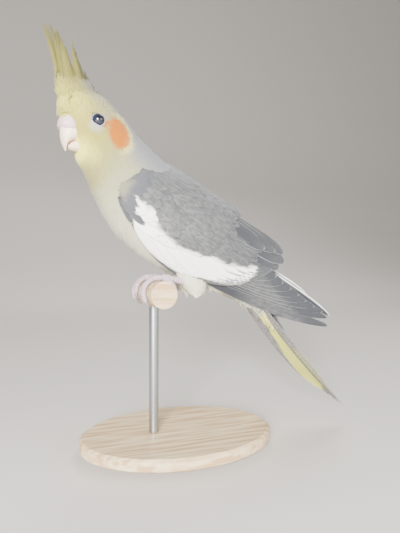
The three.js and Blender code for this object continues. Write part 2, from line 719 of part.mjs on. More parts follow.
// Put the bird together
addSolid("head", skull, FACE_CREAM);
addSolid("crest", crest, CREST_YELLOW);
addSolid("neck", neckCore, PALE_GREY);
addSolid("torso", trunkCore, PALE_GREY);
addSolid("tail", tail, TAIL_GREY);
addSolid("beak_upper", upperBill, BILL_PINK);
addSolid("beak_lower", lowerBill, BILL_PINK);
addSolid("cere", cere, CERE_PINK);
for (const [name, side] of [["left", -1], ["right", 1]]) {
  const eye = eyes.find((e) => e.side === side);
  addSolid(`eye_${name}`, eye.ball, EYE_DARK);
  addSolid(`wing_${name}`, wingOf(side), WING_GREY);
  addSolid(`thigh_${name}`, thighSolid(side).subtract(grownBody), PALE_GREY);
  const toes = TOES.map((toe) => toeSolid(toe, side));
  addSolid(`foot_${name}`, joined([tarsusSolid(side), ...toes]).subtract(thighSolid(side, GAP)), LEG_PINK);
  for (const toe of TOES) addSolid(`claw_${name}_${toe.name}`, clawSolid(toe, side), CLAW_GREY);
}

// Display stand
const BASE = { radius: 46, stretch: 1.35, thick: 7, edge: 1.4 };
const ROD_RADIUS = 3;
const base = new THREE.LatheGeometry(
  [
    new THREE.Vector2(0, 0),
    new THREE.Vector2(BASE.radius - BASE.edge / 2, 0),
    new THREE.Vector2(BASE.radius, BASE.edge / 2),
    new THREE.Vector2(BASE.radius, BASE.thick - BASE.edge),
    new THREE.Vector2(BASE.radius - BASE.edge, BASE.thick),
    new THREE.Vector2(0, BASE.thick),
  ],
  48,
)
  .rotateX(Math.PI / 2)
  .scale(BASE.stretch, 1, 1)
  .translate(BASE_X, 0, 0);
const rodBottom = BASE.thick + GAP;
const rodTop = PERCH_HEIGHT - PERCH_RADIUS + 3;
const rod = new THREE.CylinderGeometry(ROD_RADIUS, ROD_RADIUS, rodTop - rodBottom, 24)
  .rotateX(Math.PI / 2)
  .translate(PERCH_X, 0, (rodTop + rodBottom) / 2);
const perch = new THREE.CylinderGeometry(PERCH_RADIUS, PERCH_RADIUS, PERCH_LENGTH, 32)
  .translate(PERCH_X, 0, PERCH_HEIGHT);
const rodSocket = new THREE.CylinderGeometry(ROD_RADIUS + GAP, ROD_RADIUS + GAP, rodTop - rodBottom + GAP, 24)
  .rotateX(Math.PI / 2)
  .translate(PERCH_X, 0, (rodTop + rodBottom + GAP) / 2);
addSolid("stand_base", solidOf(base), STAND_WOOD, stand);
addSolid("stand_rod", solidOf(rod), STAND_STEEL, stand);
addSolid("stand_perch", solidOf(perch).subtract(solidOf(rodSocket)), STAND_WOOD, stand);

const cockatiel = new THREE.Group();
cockatiel.add(bird, stand);
cockatiel.position.x = -BASE_X;
export default cockatiel;
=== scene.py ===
"""A life-size cockatiel that grips a short round perch on a plain display stand.

The bird's own millimetres run from the axis of the perch: x back along the body, y to its right side,
z up. It faces -x. Each class below holds the sizes of one part of the bird, builds it and dresses it.
"""

import logging
import math
from dataclasses import dataclass, field
from enum import Enum
from typing import Any, Callable

import bpy
import numpy as np
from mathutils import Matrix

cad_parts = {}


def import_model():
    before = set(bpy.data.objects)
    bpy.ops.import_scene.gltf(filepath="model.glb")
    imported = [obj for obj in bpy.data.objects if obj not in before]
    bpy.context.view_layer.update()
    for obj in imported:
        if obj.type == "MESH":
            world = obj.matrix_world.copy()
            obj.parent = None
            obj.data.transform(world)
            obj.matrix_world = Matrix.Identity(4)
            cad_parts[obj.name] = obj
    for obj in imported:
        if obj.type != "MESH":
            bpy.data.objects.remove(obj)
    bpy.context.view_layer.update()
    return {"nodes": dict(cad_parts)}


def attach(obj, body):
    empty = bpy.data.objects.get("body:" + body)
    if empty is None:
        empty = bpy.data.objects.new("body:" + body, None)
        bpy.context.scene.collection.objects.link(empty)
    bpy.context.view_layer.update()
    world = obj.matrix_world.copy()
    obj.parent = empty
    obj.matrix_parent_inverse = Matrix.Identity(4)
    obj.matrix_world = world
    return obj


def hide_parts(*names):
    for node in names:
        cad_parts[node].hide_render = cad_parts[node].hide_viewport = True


LOG = logging.getLogger("cockatiel")
Array = np.ndarray
Pair = tuple[float, float]
Pairs = tuple[Pair, ...]
Triple = tuple[float, float, float]
Colour = Triple
Row = tuple[float, ...]
Rows = tuple[Row, ...]
Masks = dict[str, Array]
Marker = Callable[[Array, Array, Array, Array], Masks]
Material = bpy.types.Material
Random = np.random.Generator
SEED = 7
TO_ROW = np.array([-12.0, 0.0, 95.0])  # from the perch's axis to the middle of the stand's underside
PATCH = 0.003  # size of one tuft on its bake map


class Side(Enum):
    """A side of the bird, as the sign of its y."""

    LEFT = -1
    RIGHT = 1


# Numbers

def smooth(low: float, high: float, x: Any) -> Any:
    """A soft step from 0 at low to 1 at high."""
    t = np.clip((np.asarray(x, float) - low) / (high - low), 0.0, 1.0)
    return t * t * (3 - 2 * t)


def all_round(count: int) -> Array:
    """Evenly spaced angles round a section, as a row."""
    return np.linspace(0, 2 * math.pi, count, endpoint=False)[None]


def down(count: int, end: float = 1.0) -> Array:
    """Evenly spaced places from 0 to an end, as a column."""
    return np.linspace(0, end, count)[:, None]


def together(*values: Any) -> list[Array]:
    """Numbers as arrays of one shape."""
    return np.broadcast_arrays(*(np.asarray(value, float) for value in values))


def reach(points: Array, middle: Row, near: float, far: float) -> Array:
    """Returns 1 near a middle, 0 far from it and a soft step between the two distances."""
    return 1 - smooth(near, far, np.linalg.norm(points - np.array(middle), axis=-1))


def curve_through(rows: Array, share: Any) -> Array:
    """A smooth curve through rows of numbers.

    Args:
        rows: The numbers at evenly spaced places, one row each.
        share: How far along the curve, from 0 to 1, of any shape.

    Returns:
        The numbers there, with one more axis than share.
    """
    last = len(rows) - 1
    x = np.clip(np.asarray(share, float), 0, 1) * last
    i = np.minimum(x.astype(int), last - 1)
    t = (x - i)[..., None]
    p0, p1 = rows[np.maximum(i - 1, 0)], rows[i]
    p2, p3 = rows[i + 1], rows[np.minimum(i + 2, last)]
    v0, v1 = (p2 - p0) / 2, (p3 - p1) / 2
    return ((2 * p1 - 2 * p2 + v0 + v1) * t + (-3 * p1 + 3 * p2 - 2 * v0 - v1)) * t * t + v0 * t + p1


def share_of(places: Array, x: Any) -> Array:
    """Turns a distance into the share of a curve whose rows stand at uneven places."""
    return np.interp(x, places, np.linspace(0, 1, len(places)))


def unit(v: Array) -> Array:
    """Vectors of length one."""
    return v / np.maximum(np.linalg.norm(v, axis=-1, keepdims=True), 1e-9)


# Surfaces that feathers lie on

class Surface:
    """A curved face with two coordinates, u along the lie of the feathers and v across it."""

    step_u = 0.4
    step_v = 0.4
    span = (0.0, 1.0, 0.0, 1.0)  # lowest and highest u and v of its bake map
    wide = 2 * math.pi  # the whole range of v
    facing = 1.0  # the sign that turns the cross product outwards

    def at(self, u: Any, v: Any) -> Array:
        """The point of the face at u, v, in the bird's millimetres."""
        raise NotImplementedError

    def frame(self, u: Any, v: Any) -> tuple[Array, Array, Array, Array]:
        """The point at u, v with its unit vectors.

        Args:
            u: Places along the lie.
            v: Places across it.

        Returns:
            The points, the lie, the direction across it, and the outward normal.
        """
        along = unit(self.at(u + self.step_u, v) - self.at(u - self.step_u, v))
        across = self.at(u, v + self.step_v) - self.at(u, v - self.step_v)
        normal = unit(np.cross(along, across)) * self.facing
        return self.at(u, v), along, unit(np.cross(normal, along)), normal

    def marks(self, u: Array, v: Array) -> Masks:
        """Masks of the face's own that take the place of the bird's."""
        return {}

    def covered(self, u: Array, v: Array) -> Array:
        """True where the face bears feathers."""
        return np.ones(np.shape(u), bool)

    def over(self, u: Any, v: Any, h: Any) -> Array:
        """The point at a height h over the face at u, v."""
        frame = self.frame(u, v)
        return frame[0] + frame[3] * np.asarray(h, float)[..., None]


@dataclass
class OvalForm(Surface):
    """A form through oval sections, each between an upper and a lower point of the outline.

    Each row holds the upper point's x and z, the lower point's x and z, and the half width.
    """

    rows: Rows
    fullness: float = 2.0
    aside: float = 0.0
    pose: Callable[[Array, Array], Array] | None = None
    facing: float = 1.0  # minus one where the stations run up, not back

    def __post_init__(self) -> None:
        """Steps that suit stations and angles."""
        self.table = np.array(self.rows)
        self.last = len(self.rows) - 1
        self.step_u, self.step_v = 0.03, 0.03

    def at(self, u: Any, v: Any, grow: Any = 0.0) -> Array:
        """The points of the form.

        Args:
            u: Stations, counted in rows.
            v: Angles from the top.
            grow: How much larger the form is all round.

        Returns:
            The points.
        """
        u, v = together(u, v)
        row = curve_through(self.table, u / self.last)
        up, low, half = row[..., 0:2], row[..., 2:4], row[..., 4]
        middle, rise = (up + low) / 2, (up - low) / 2
        depth = np.linalg.norm(rise, axis=-1)
        high = (self.round(np.cos(v)) * (depth + grow) / depth)[..., None] * rise
        y = self.round(np.sin(v)) * (half + grow) + self.aside
        points = np.stack([middle[..., 0] + high[..., 0], y, middle[..., 1] + high[..., 1]], axis=-1)
        return self.pose(points, u) if self.pose else points

    def round(self, x: Array) -> Array:
        """A sine or cosine, made a little fuller."""
        return np.sign(x) * np.abs(x) ** (2 / self.fullness)


@dataclass
class HeadTurn:
    """The head's turn to the left about an upright line through the neck."""

    degrees: float = 18.0
    x: float = -22.0
    full_to: float = 4.5
    gone_at: float = 9.5

    def turn(self, points: Array, share: Any = 1.0) -> Array:
        """Turns points about the upright line.

        Args:
            points: Points of the bird.
            share: How much of the angle they turn by.

        Returns:
            The turned points.
        """
        a = math.radians(self.degrees) * np.asarray(share, float)
        x, y = points[..., 0] - self.x, points[..., 1]
        turned = [self.x + x * np.cos(a) - y * np.sin(a), x * np.sin(a) + y * np.cos(a), points[..., 2]]
        return np.stack(np.broadcast_arrays(*turned), axis=-1)

    def back(self, points: Array) -> Array:
        """Points taken back into the head's own frame."""
        return self.turn(points, -1.0)

    def whole(self, points: Array, station: Array) -> Array:
        """The pose of a form that belongs to the head."""
        return self.turn(points)

    def fade(self, points: Array, station: Array) -> Array:
        """The pose of a section of the body: turned fully at the head and not at all at the trunk."""
        return self.turn(points, 1 - smooth(self.full_to, self.gone_at, station))


TURN = HeadTurn()
BODY = OvalForm(
    rows=(
        (-64.9, 105, -62, 99, 3.8), (-64.2, 110.6, -58, 91.5, 6.4),
        (-58.8, 115.8, -54.3, 85, 9), (-49, 117.8, -52, 78.5, 12.4),
        (-40, 116.8, -48.8, 72.8, 13.9), (-31.5, 113, -46, 67.2, 14.3),
        (-23, 106.2, -43.2, 61.6, 15), (-14.6, 97.6, -39.6, 55.6, 17),
        (-4.6, 88.8, -35.5, 48, 19.3), (5.5, 80.6, -29.5, 39, 20.8),
        (18, 72.6, -21, 30.5, 21.6), (30, 64.4, -10, 22, 21.8),
        (41.5, 55.8, 3, 14.5, 20.8), (51.5, 46.2, 17, 8.5, 18.3),
        (60, 36, 30, 4, 15.5), (67, 25.6, 42, 0.5, 12.5),
        (72, 15.6, 52, -3.4, 10.2),
    ),
    fullness=2.1,
    pose=TURN.fade,
)


BROW = OvalForm(
    rows=((-65.0, 103.4, -64.7, 101.8, 0.6), (-64.9, 105.0, -62.0, 99.0, 3.8),
          (-64.2, 110.6, -58.0, 91.5, 6.4)),
    pose=TURN.whole,
)


@dataclass
class WingFace(Surface):
    """The outer face of a folded wing: u runs down it from the bend to the tip, v across it."""

    side: Side
    bend: Pair = (-28.6, 61.4)
    slope: float = 28.0
    middle: float = 2.0
    upper: float = 28.0
    leanest: float = 0.4
    ribs: Rows = (
        (-2, 17, 22.5, 10), (8, 17.5, 25.5, 8), (25, 16, 26.6, 11), (55, 14.5, 26, 9),
        (90, 13, 20.5, 5.5), (117, 12, 15.5, 4), (145, 10, 11, 3), (174, 6.5, 8, 3),
    )
    edges: Rows = (
        (-2, -2.5, 3.5), (3, -8, 13), (10, -13.5, 22), (25, -21, 30),
        (55, -24.5, 31.5), (80, -21, 28.5), (106, -13, 24),
    )
    right_slide: float = 8.0
    right_rise: float = 1.0
    span = (-6.0, 180.0, -32.0, 36.0)
    wide = 72.0

    def __post_init__(self) -> None:
        """Each wing's face looks away from the body."""
        self.facing = -float(self.side.value)

    def at(self, u: Any, v: Any) -> Array:
        """The points of the face, curved over its ribs.

        Args:
            u: Places down the wing.
            v: Places across it.

        Returns:
            The points.
        """
        u, v = together(u, v)
        ribs = np.array(self.ribs, float)
        out = curve_through(ribs[:, 1:], share_of(ribs[:, 0], u))
        a, b, c = out[..., 0], out[..., 1], out[..., 2]
        w = (v - self.middle) / (self.upper - self.middle)
        away = b + (c - a) / 2 * w + ((a + c) / 2 - b) * w * w
        cos, sin = math.cos(math.radians(self.slope)), math.sin(math.radians(self.slope))
        x, z = cos * u + sin * v, -sin * u + cos * v
        if self.side is Side.RIGHT:
            rise = math.radians(self.right_rise)
            x, z = x * math.cos(rise) - z * math.sin(rise), x * math.sin(rise) + z * math.cos(rise)
            x, z = x + cos * self.right_slide, z - sin * self.right_slide
        y = np.maximum(away, self.leanest) * self.side.value
        return np.stack([self.bend[0] + x, y, self.bend[1] + z], axis=-1)

    def marks(self, u: Array, v: Array) -> Masks:
        """The wing's grey from the bend on, with the start of its white patch."""
        white = Wing(self.side).white(u, v)
        return {"slate": (1 - white) * (0.45 + 0.55 * smooth(-2.0, 3.0, u)), "white": white}

    def covered(self, u: Array, v: Array) -> Array:
        """True within the edges of the fleshy part."""
        low, high = self.edge(u)
        return (v > low + 0.4) & (v < high - 0.5) & (v > -1.6 * u - 6.0)

    def edge(self, u: Any) -> tuple[Array, Array]:
        """The edges of the wing's fleshy part.

        Args:
            u: Places down the wing.

        Returns:
            Where the lower and the upper edge lie.
        """
        rows = np.array(self.edges, float)
        both = curve_through(rows[:, 1:], share_of(rows[:, 0], u))
        return both[..., 0], both[..., 1]


@dataclass
class TailFace(Surface):
    """The tail's own sheet: u runs down its curved axis, v across it."""

    axis: Pairs = ((56, 7.5), (98, -50), (137.5, -85.2))
    roll: float = 4.0
    span = (-8.0, 130.0, -22.0, 22.0)

    def __post_init__(self) -> None:
        """Measures the axis once."""
        t = np.linspace(0, 1, 400)[:, None]
        a, b, c = (np.array(p, float) for p in self.axis)
        self.line = a * (1 - t) ** 2 + b * 2 * t * (1 - t) + c * t * t
        steps = np.linalg.norm(np.diff(self.line, axis=0), axis=1)
        self.far = np.concatenate([[0], np.cumsum(steps)])
        self.length = float(self.far[-1])

    def at(self, u: Any, v: Any) -> Array:
        """The point at u down the tail and v across it."""
        return self.over(u, v, np.zeros(np.broadcast(u, v).shape))

    def over(self, u: Any, v: Any, h: Any) -> Array:
        """The points over the sheet.

        Args:
            u: Places down the tail.
            v: Places across it.
            h: Heights over it.

        Returns:
            The points.
        """
        u, v, h = together(u, v, h)
        s = np.clip(u, 0, self.length)
        at = np.stack([np.interp(s, self.far, self.line[:, k]) for k in (0, 1)], axis=-1)
        near = np.clip(s, 0.5, self.length - 0.5)
        ends = [[np.interp(near + d, self.far, self.line[:, k]) for k in (0, 1)] for d in (-0.5, 0.5)]
        way = unit(np.stack(ends[1], axis=-1) - np.stack(ends[0], axis=-1))
        past = u - s
        roll = math.radians(self.roll)
        rise = h * math.cos(roll) - v * math.sin(roll)
        x = at[..., 0] + way[..., 0] * past - way[..., 1] * rise
        z = at[..., 1] + way[..., 1] * past + way[..., 0] * rise
        return np.stack([x, v * math.cos(roll) + h * math.sin(roll), z], axis=-1)

    def frame(self, u: Any, v: Any) -> tuple[Array, Array, Array, Array]:
        """The point at u, v with its unit vectors.

        Args:
            u: Places down the tail.
            v: Places across it.

        Returns:
            The points, the lie, the direction across it, and the normal of the upper side.
        """
        u, v = together(u, v)
        here, zero = self.at(u, v), np.zeros(u.shape)
        along = unit(self.at(u + 0.5, v) - self.at(u - 0.5, v))
        normal = unit(self.over(u, v, zero + 1) - here)
        return here, along, unit(np.cross(normal, along)), normal


@dataclass
class RumpForm(Surface):
    """The flesh at the tail's root: u runs from 0 to 1 along it, v is the angle from its top.

    Each row holds the place down the tail, the half width, and the height over and under the sheet.
    """

    rows: Rows = (
        (-4, 7.6, 9, 10), (8, 8.6, 8, 8.6), (18, 8.6, 5.6, 4.6), (27, 7.6, 4.2, 2.6),
        (34, 5.6, 2.9, 1.6), (38, 3.6, 2.2, 1.3),
    )
    depth: float = 0.0

    def __post_init__(self) -> None:
        """Steps that suit shares and angles."""
        self.tail = TailFace()
        self.step_u, self.step_v = 0.01, 0.03

    def at(self, u: Any, v: Any) -> Array:
        """The points of the form.

        Args:
            u: Shares of its length.
            v: Angles from its top.

        Returns:
            The points.
        """
        u, v = together(u, v)
        row = curve_through(np.array(self.rows, float), u)
        rise = np.where(np.cos(v) > 0, row[..., 2], row[..., 3]) - self.depth
        return self.tail.over(row[..., 0], (row[..., 1] - self.depth) * np.sin(v), rise * np.cos(v))

    def marks(self, u: Array, v: Array) -> Masks:
        """Grey flecks, and the start of the tail's yellow stripe.

        Args:
            u: Shares of its length.
            v: Angles from its top.

        Returns:
            The masks by name.
        """
        row = curve_through(np.array(self.rows, float), u)
        gold = Tail().marks(row[..., 0], row[..., 1] * np.sin(v), u, v)["gold"]
        under = smooth(0.3, -0.2, np.cos(v))
        return {"gold": 0.9 * gold * under, "flecks": 0.75 * (1 - gold) * smooth(0.0, 0.2, u) * under,
                "white": 0.5 * under, "back": 1 - under}


@dataclass
class HeadPlane(Surface):
    """The upright middle plane of the turned head: u is the height, v the place along the head."""

    span = (100.0, 160.0, -76.0, -30.0)
    facing = -1.0  # heights over the plane count to the left side

    def at(self, u: Any, v: Any) -> Array:
        """The point at height u and place v."""
        u, v = together(u, v)
        return TURN.turn(np.stack([v, np.zeros(u.shape), u], axis=-1))


# Meshes

@dataclass
class Draft:
    """The points, faces and values of one mesh while it is being made, in the bird's millimetres."""

    points: list[Array] = field(default_factory=list)
    quads: list[Array] = field(default_factory=list)
    tris: list[Array] = field(default_factory=list)
    spots: list[Array] = field(default_factory=list)
    values: list[Masks] = field(default_factory=list)
    normals: list[Array] = field(default_factory=list)
    count: int = 0

    def add(self, points: Array, quads: Array | None = None, tris: Array | None = None,
            spots: Array | None = None, normals: Array | None = None, **values: Array) -> None:
        """Adds a set of points with its faces.

        Args:
            points: One row each.
            quads: Faces of four points, counted from the first new point.
            tris: Faces of three points, likewise.
            spots: Each point's place on the bake map.
            normals: The points' normals, where the faces don't give them.
            values: Named numbers, one a point.
        """
        points = points.reshape(-1, 3)
        self.points.append(points)
        if normals is not None:
            self.normals.append(normals.reshape(-1, 3))
        for kept, new in ((self.quads, quads), (self.tris, tris)):
            if new is not None:
                kept.append(new + self.count)
        self.spots.append(np.zeros((len(points), 2)) if spots is None else spots.reshape(-1, 2))
        self.values.append({k: np.broadcast_to(v, len(points)) for k, v in values.items()})
        self.count += len(points)

    def to_object(self, name: str, paint: Material, mapped: bool = False) -> bpy.types.Object:
        """Makes the mesh.

        Args:
            name: The piece's name.
            paint: Its material.
            mapped: True where it gets the bake map of its tufts.

        Returns:
            The new object, in metres, in the row's frame.
        """
        mesh = bpy.data.meshes.new(name)
        points = (np.concatenate(self.points) + TO_ROW) / 1000
        quads = np.concatenate(self.quads) if self.quads else np.zeros((0, 4), int)
        tris = np.concatenate(self.tris) if self.tris else np.zeros((0, 3), int)
        corners = np.concatenate([quads.ravel(), tris.ravel()]).astype(np.int32)
        starts = np.concatenate([np.arange(len(quads)) * 4, len(quads) * 4 + np.arange(len(tris)) * 3])
        mesh.vertices.add(len(points))
        mesh.vertices.foreach_set("co", points.astype(np.float32).ravel())
        mesh.loops.add(len(corners))
        mesh.loops.foreach_set("vertex_index", corners)
        mesh.polygons.add(len(starts))
        mesh.polygons.foreach_set("loop_start", starts.astype(np.int32))
        mesh.polygons.foreach_set("use_smooth", np.ones(len(starts), bool))
        for key in sorted(set().union(*self.values)):
            store = mesh.attributes.new(key, "FLOAT", "POINT")
            parts = [v.get(key, np.zeros(len(p))) for v, p in zip(self.values, self.points)]
            store.data.foreach_set("value", np.concatenate(parts).astype(np.float32))
        if mapped:
            layer = mesh.uv_layers.new(name="OFBake")
            layer.data.foreach_set("uv", np.concatenate(self.spots)[corners].astype(np.float32).ravel())
        mesh.update(calc_edges=True)
        if self.normals:
            mesh.normals_split_custom_set_from_vertices(np.concatenate(self.normals).astype(np.float32))
        else:
            mesh.validate()
        mesh.materials.append(paint)
        piece = bpy.data.objects.new(name, mesh)
        bpy.context.scene.collection.objects.link(piece)
        return piece


def grid_faces(rows: int, columns: int, closed: bool = False) -> Array:
    """Quads over a grid of points.

    Args:
        rows: Points one way.
        columns: Points the other way.
        closed: True where the last column joins the first.

    Returns:
        Indices of four points a face.
    """
    i, j = np.meshgrid(np.arange(rows - 1), np.arange(columns if closed else columns - 1), indexing="ij")
    a, b = i * columns + j, i * columns + (j + 1) % columns
    return np.stack([a, b, b + columns, a + columns], axis=-1).reshape(-1, 4)


def tube(draft: Draft, rings: Array, caps: bool = True, spots: Array | None = None, **values: Array) -> None:
    """Adds a closed skin through rings of points to a draft.

    Args:
        draft: What it is added to.
        rings: Rings by points by three numbers.
        caps: True where both ends are closed by a middle point.
        spots: The points' places on the bake map.
        values: Named numbers, one a point of the rings.
    """
    count, sides = rings.shape[:2]
    points = rings.reshape(-1, 3)
    tris = None
    if spots is not None:
        spots = spots.reshape(-1, 2)
    flat = {k: np.broadcast_to(v, (count, sides)).reshape(-1) for k, v in values.items()}
    if caps:
        points = np.concatenate([points, rings[[0, -1]].mean(axis=1)])
        k = np.arange(sides)
        n = (k + 1) % sides
        first, last = count * sides, count * sides + 1
        start = np.stack([np.full(sides, first), n, k], axis=-1)
        end = np.stack([np.full(sides, last), (count - 1) * sides + k, (count - 1) * sides + n], axis=-1)
        tris = np.concatenate([start, end])
        flat = {name: np.concatenate([v, [v[0], v[-1]]]) for name, v in flat.items()}
        if spots is not None:
            spots = np.concatenate([spots, spots[[0, -1]]])
    draft.add(points, grid_faces(count, sides, closed=True), tris, spots, **flat)


@dataclass(frozen=True)
class VaneShape:
    """How the vane of a feather is cut."""

    steps: int = 14
    columns: Row = (-1.0, -0.9, -0.5, -0.06, 0.06, 0.5, 0.9, 1.0)
    root: float = 0.55
    tip_from: float = 0.72
    tip_power: float = 2.4
    thick: float = 0.34
    camber: float = 0.35
    roll: float = 0.0
    shaft: float = 0.12
    ragged: float = 0.03

    def width(self, t: Array) -> Array:
        """The outline of the vane.

        Args:
            t: Shares of its length, from the root on.

        Returns:
            Shares of its greatest half width.
        """
        x = np.clip((t - self.tip_from) / (1 - self.tip_from), 0, 1)
        swell = self.root + (1 - self.root) * smooth(0, 0.35, t)
        return swell * (1 - x ** self.tip_power) ** 0.6


SMALL = (-1.0, -0.85, -0.4, 0.4, 0.85, 1.0)  # columns of a small feather


@dataclass
class Feather:
    """One feather on a surface: where its root and tip are, and how it lies."""

    root: Pair
    tip: Pair
    half: float
    lift: Pair = (0.0, 0.4)
    bow: float = 0.0
    marks: dict[str, float] = field(default_factory=dict)


def lay_vane(draft: Draft, face: Surface, feather: Feather, shape: VaneShape, rng: Random,
             marks: Marker | None = None) -> None:
    """Adds one feather to a draft, bent to the surface that it lies on.

    Args:
        draft: What it is added to.
        face: The surface.
        feather: Its place and size.
        shape: How its vane is cut.
        rng: Draws the ragged edge and the tone.
        marks: Gives further values of its points.
    """
    w = np.array(shape.columns)
    t = 1 - (1 - np.linspace(0, 1, shape.steps + 1)) ** 1.35
    root, tip = np.array(feather.root), np.array(feather.tip)
    way = tip - root
    length = float(np.linalg.norm(way))
    across = np.array([-way[1], way[0]]) / length
    tt, ww = np.meshgrid(t, w, indexing="ij")
    edge = 1 - shape.ragged * rng.random(tt.shape) * (np.abs(ww) > 0.8)
    off = ww * feather.half * np.maximum(shape.width(tt), 0.02) * edge
    middle = root + way * tt[..., None] + across * (feather.bow * np.sin(math.pi * tt))[..., None]
    uv = middle + across * off[..., None]
    high = feather.lift[0] + (feather.lift[1] - feather.lift[0]) * tt
    bend = shape.camber * (1 - ww ** 2) - shape.roll * ww + shape.shaft * (np.abs(ww) < 0.1) * (1 - 0.7 * tt)
    depth = shape.thick * (1 - 0.6 * tt) * (1 - 0.75 * np.abs(ww))
    top = face.over(uv[..., 0], uv[..., 1], high + bend)
    low = face.over(uv[..., 0], uv[..., 1], high + bend - depth - 0.03)
    rings = np.concatenate([top, low[:, ::-1]], axis=1)
    values = {"along": tt, "across": ww, "off": off, "run": tt * length,
              "left": (1 - tt) * length, "tone": tt * 0 + rng.random()}
    if marks:
        values.update(marks(uv[..., 0], uv[..., 1], tt, ww))
    values.update({k: tt * 0 + v for k, v in feather.marks.items()})
    values = {k: np.concatenate([v, v[:, ::-1]], axis=1) for k, v in values.items()}
    values["under"] = np.concatenate([0 * tt, 0 * tt + 1], axis=1)
    place = np.array([(root[0] - face.span[0]) / (face.span[1] - face.span[0]),
                      (root[1] - face.span[2]) / (face.span[3] - face.span[2])])
    local = np.stack([np.concatenate([ww, ww[:, ::-1]], axis=1) / 2, values["along"] - 0.5], axis=-1) * PATCH
    tube(draft, rings, spots=np.clip(place, 0.01, 0.99) + local, **values)


@dataclass(frozen=True)
class Tuft:
    """A small soft feather with a split tip: its points are shares of its length and of its width."""

    outline: tuple[Triple, ...] = (
        (0, -0.35, 0), (0, 0.35, 0),
        (0.4, -1, -0.1), (0.4, 0, 0.3), (0.4, 1, -0.1),
        (0.75, -0.8, -0.05), (0.75, 0, 0.3), (0.75, 0.8, -0.05),
        (0.94, -0.55, 0), (1, 0.05, 0.1), (0.91, 0.6, 0),
    )
    faces: tuple[tuple[int, ...], ...] = (
        (0, 3, 1), (0, 2, 3), (1, 3, 4), (2, 6, 3), (2, 5, 6), (3, 7, 4), (3, 6, 7), (5, 8, 6), (6, 8, 9),
        (6, 9, 10), (6, 10, 7),
    )
    crown: float = 0.35  # how far the shading turns away at the sides


TUFT = Tuft()


def lay_tufts(draft: Draft, roots: Array, lie: Array, normal: Array, length: Array, half: Array,
              tilt: Array, sink: float, spots: Array, **values: Array) -> None:
    """Adds many small feathers at once.

    Args:
        draft: What they are added to.
        roots: Their places on the skin's outer face.
        lie: The unit vectors that they point along.
        normal: The unit vectors away from the skin.
        length: Their lengths.
        half: Their half widths.
        tilt: How far each tip stands off, as a share of its length.
        sink: How deep the roots lie under the face.
        spots: Their roots' places on the bake map.
        values: Named numbers, one a feather.
    """
    form = np.array(TUFT.outline)
    side = np.cross(normal, lie)
    along, across, bulge = form[:, 0], form[:, 1], form[:, 2]
    rise = -sink * (1 - along) ** 2 + length[:, None] * tilt[:, None] * along + half[:, None] * bulge * 0.5
    points = (
        roots[:, None]
        + lie[:, None] * (length[:, None] * along)[..., None]
        + side[:, None] * (half[:, None] * across)[..., None]
        + normal[:, None] * rise[..., None]
    )
    count, size = len(roots), len(form)
    tris = (np.array(TUFT.faces)[None] + (np.arange(count) * size)[:, None, None]).reshape(-1, 3)
    place = spots[:, None] + (np.stack([across / 2, along - 0.5], axis=-1) * PATCH)[None]
    soft = unit(normal[:, None] + side[:, None] * (TUFT.crown * across)[..., None])
    spread = {k: np.repeat(v, size) for k, v in values.items()}
    draft.add(points, None, tris, place, soft, along=np.tile(along, count), **spread)


def spread_roots(face: Surface, stretch: "Stretch", rng: Random,
                 cells: int = 160) -> tuple[Array, Array]:
    """Places spread evenly over a surface.

    Args:
        face: The surface.
        stretch: Where on it, and how far apart.
        rng: Draws them.
        cells: How finely the area is measured, each way.

    Returns:
        The places' u and v.
    """
    us, vs = np.linspace(*stretch.stations, cells + 1), np.linspace(*stretch.angles, cells + 1)
    points = face.at(us[:, None], vs[None, :])
    one = points[1:, :-1] - points[:-1, :-1]
    two = points[:-1, 1:] - points[:-1, :-1]
    area = np.linalg.norm(np.cross(one, two), axis=-1)
    area[1::2] = area[1::2, ::-1]
    total = np.cumsum(area.ravel())
    count = int(total[-1] / stretch.spacing ** 2)
    pick = np.searchsorted(total, (np.arange(count) + rng.random(count)) * total[-1] / count)
    i, j = np.unravel_index(np.minimum(pick, area.size - 1), area.shape)
    j = np.where(i % 2 == 1, cells - 1 - j, j)
    step_u, step_v = us[1] - us[0], vs[1] - vs[0]
    return us[0] + (i + rng.random(count)) * step_u, vs[0] + (j + rng.random(count)) * step_v


# Materials

def tint(code: str) -> Colour:
    """A screen colour such as "#c8c8c8" as the linear numbers that shaders take."""
    parts = [int(code[i:i + 2], 16) / 255 for i in (1, 3, 5)]
    return tuple(p / 12.92 if p <= 0.04045 else ((p + 0.055) / 1.055) ** 2.4 for p in parts)


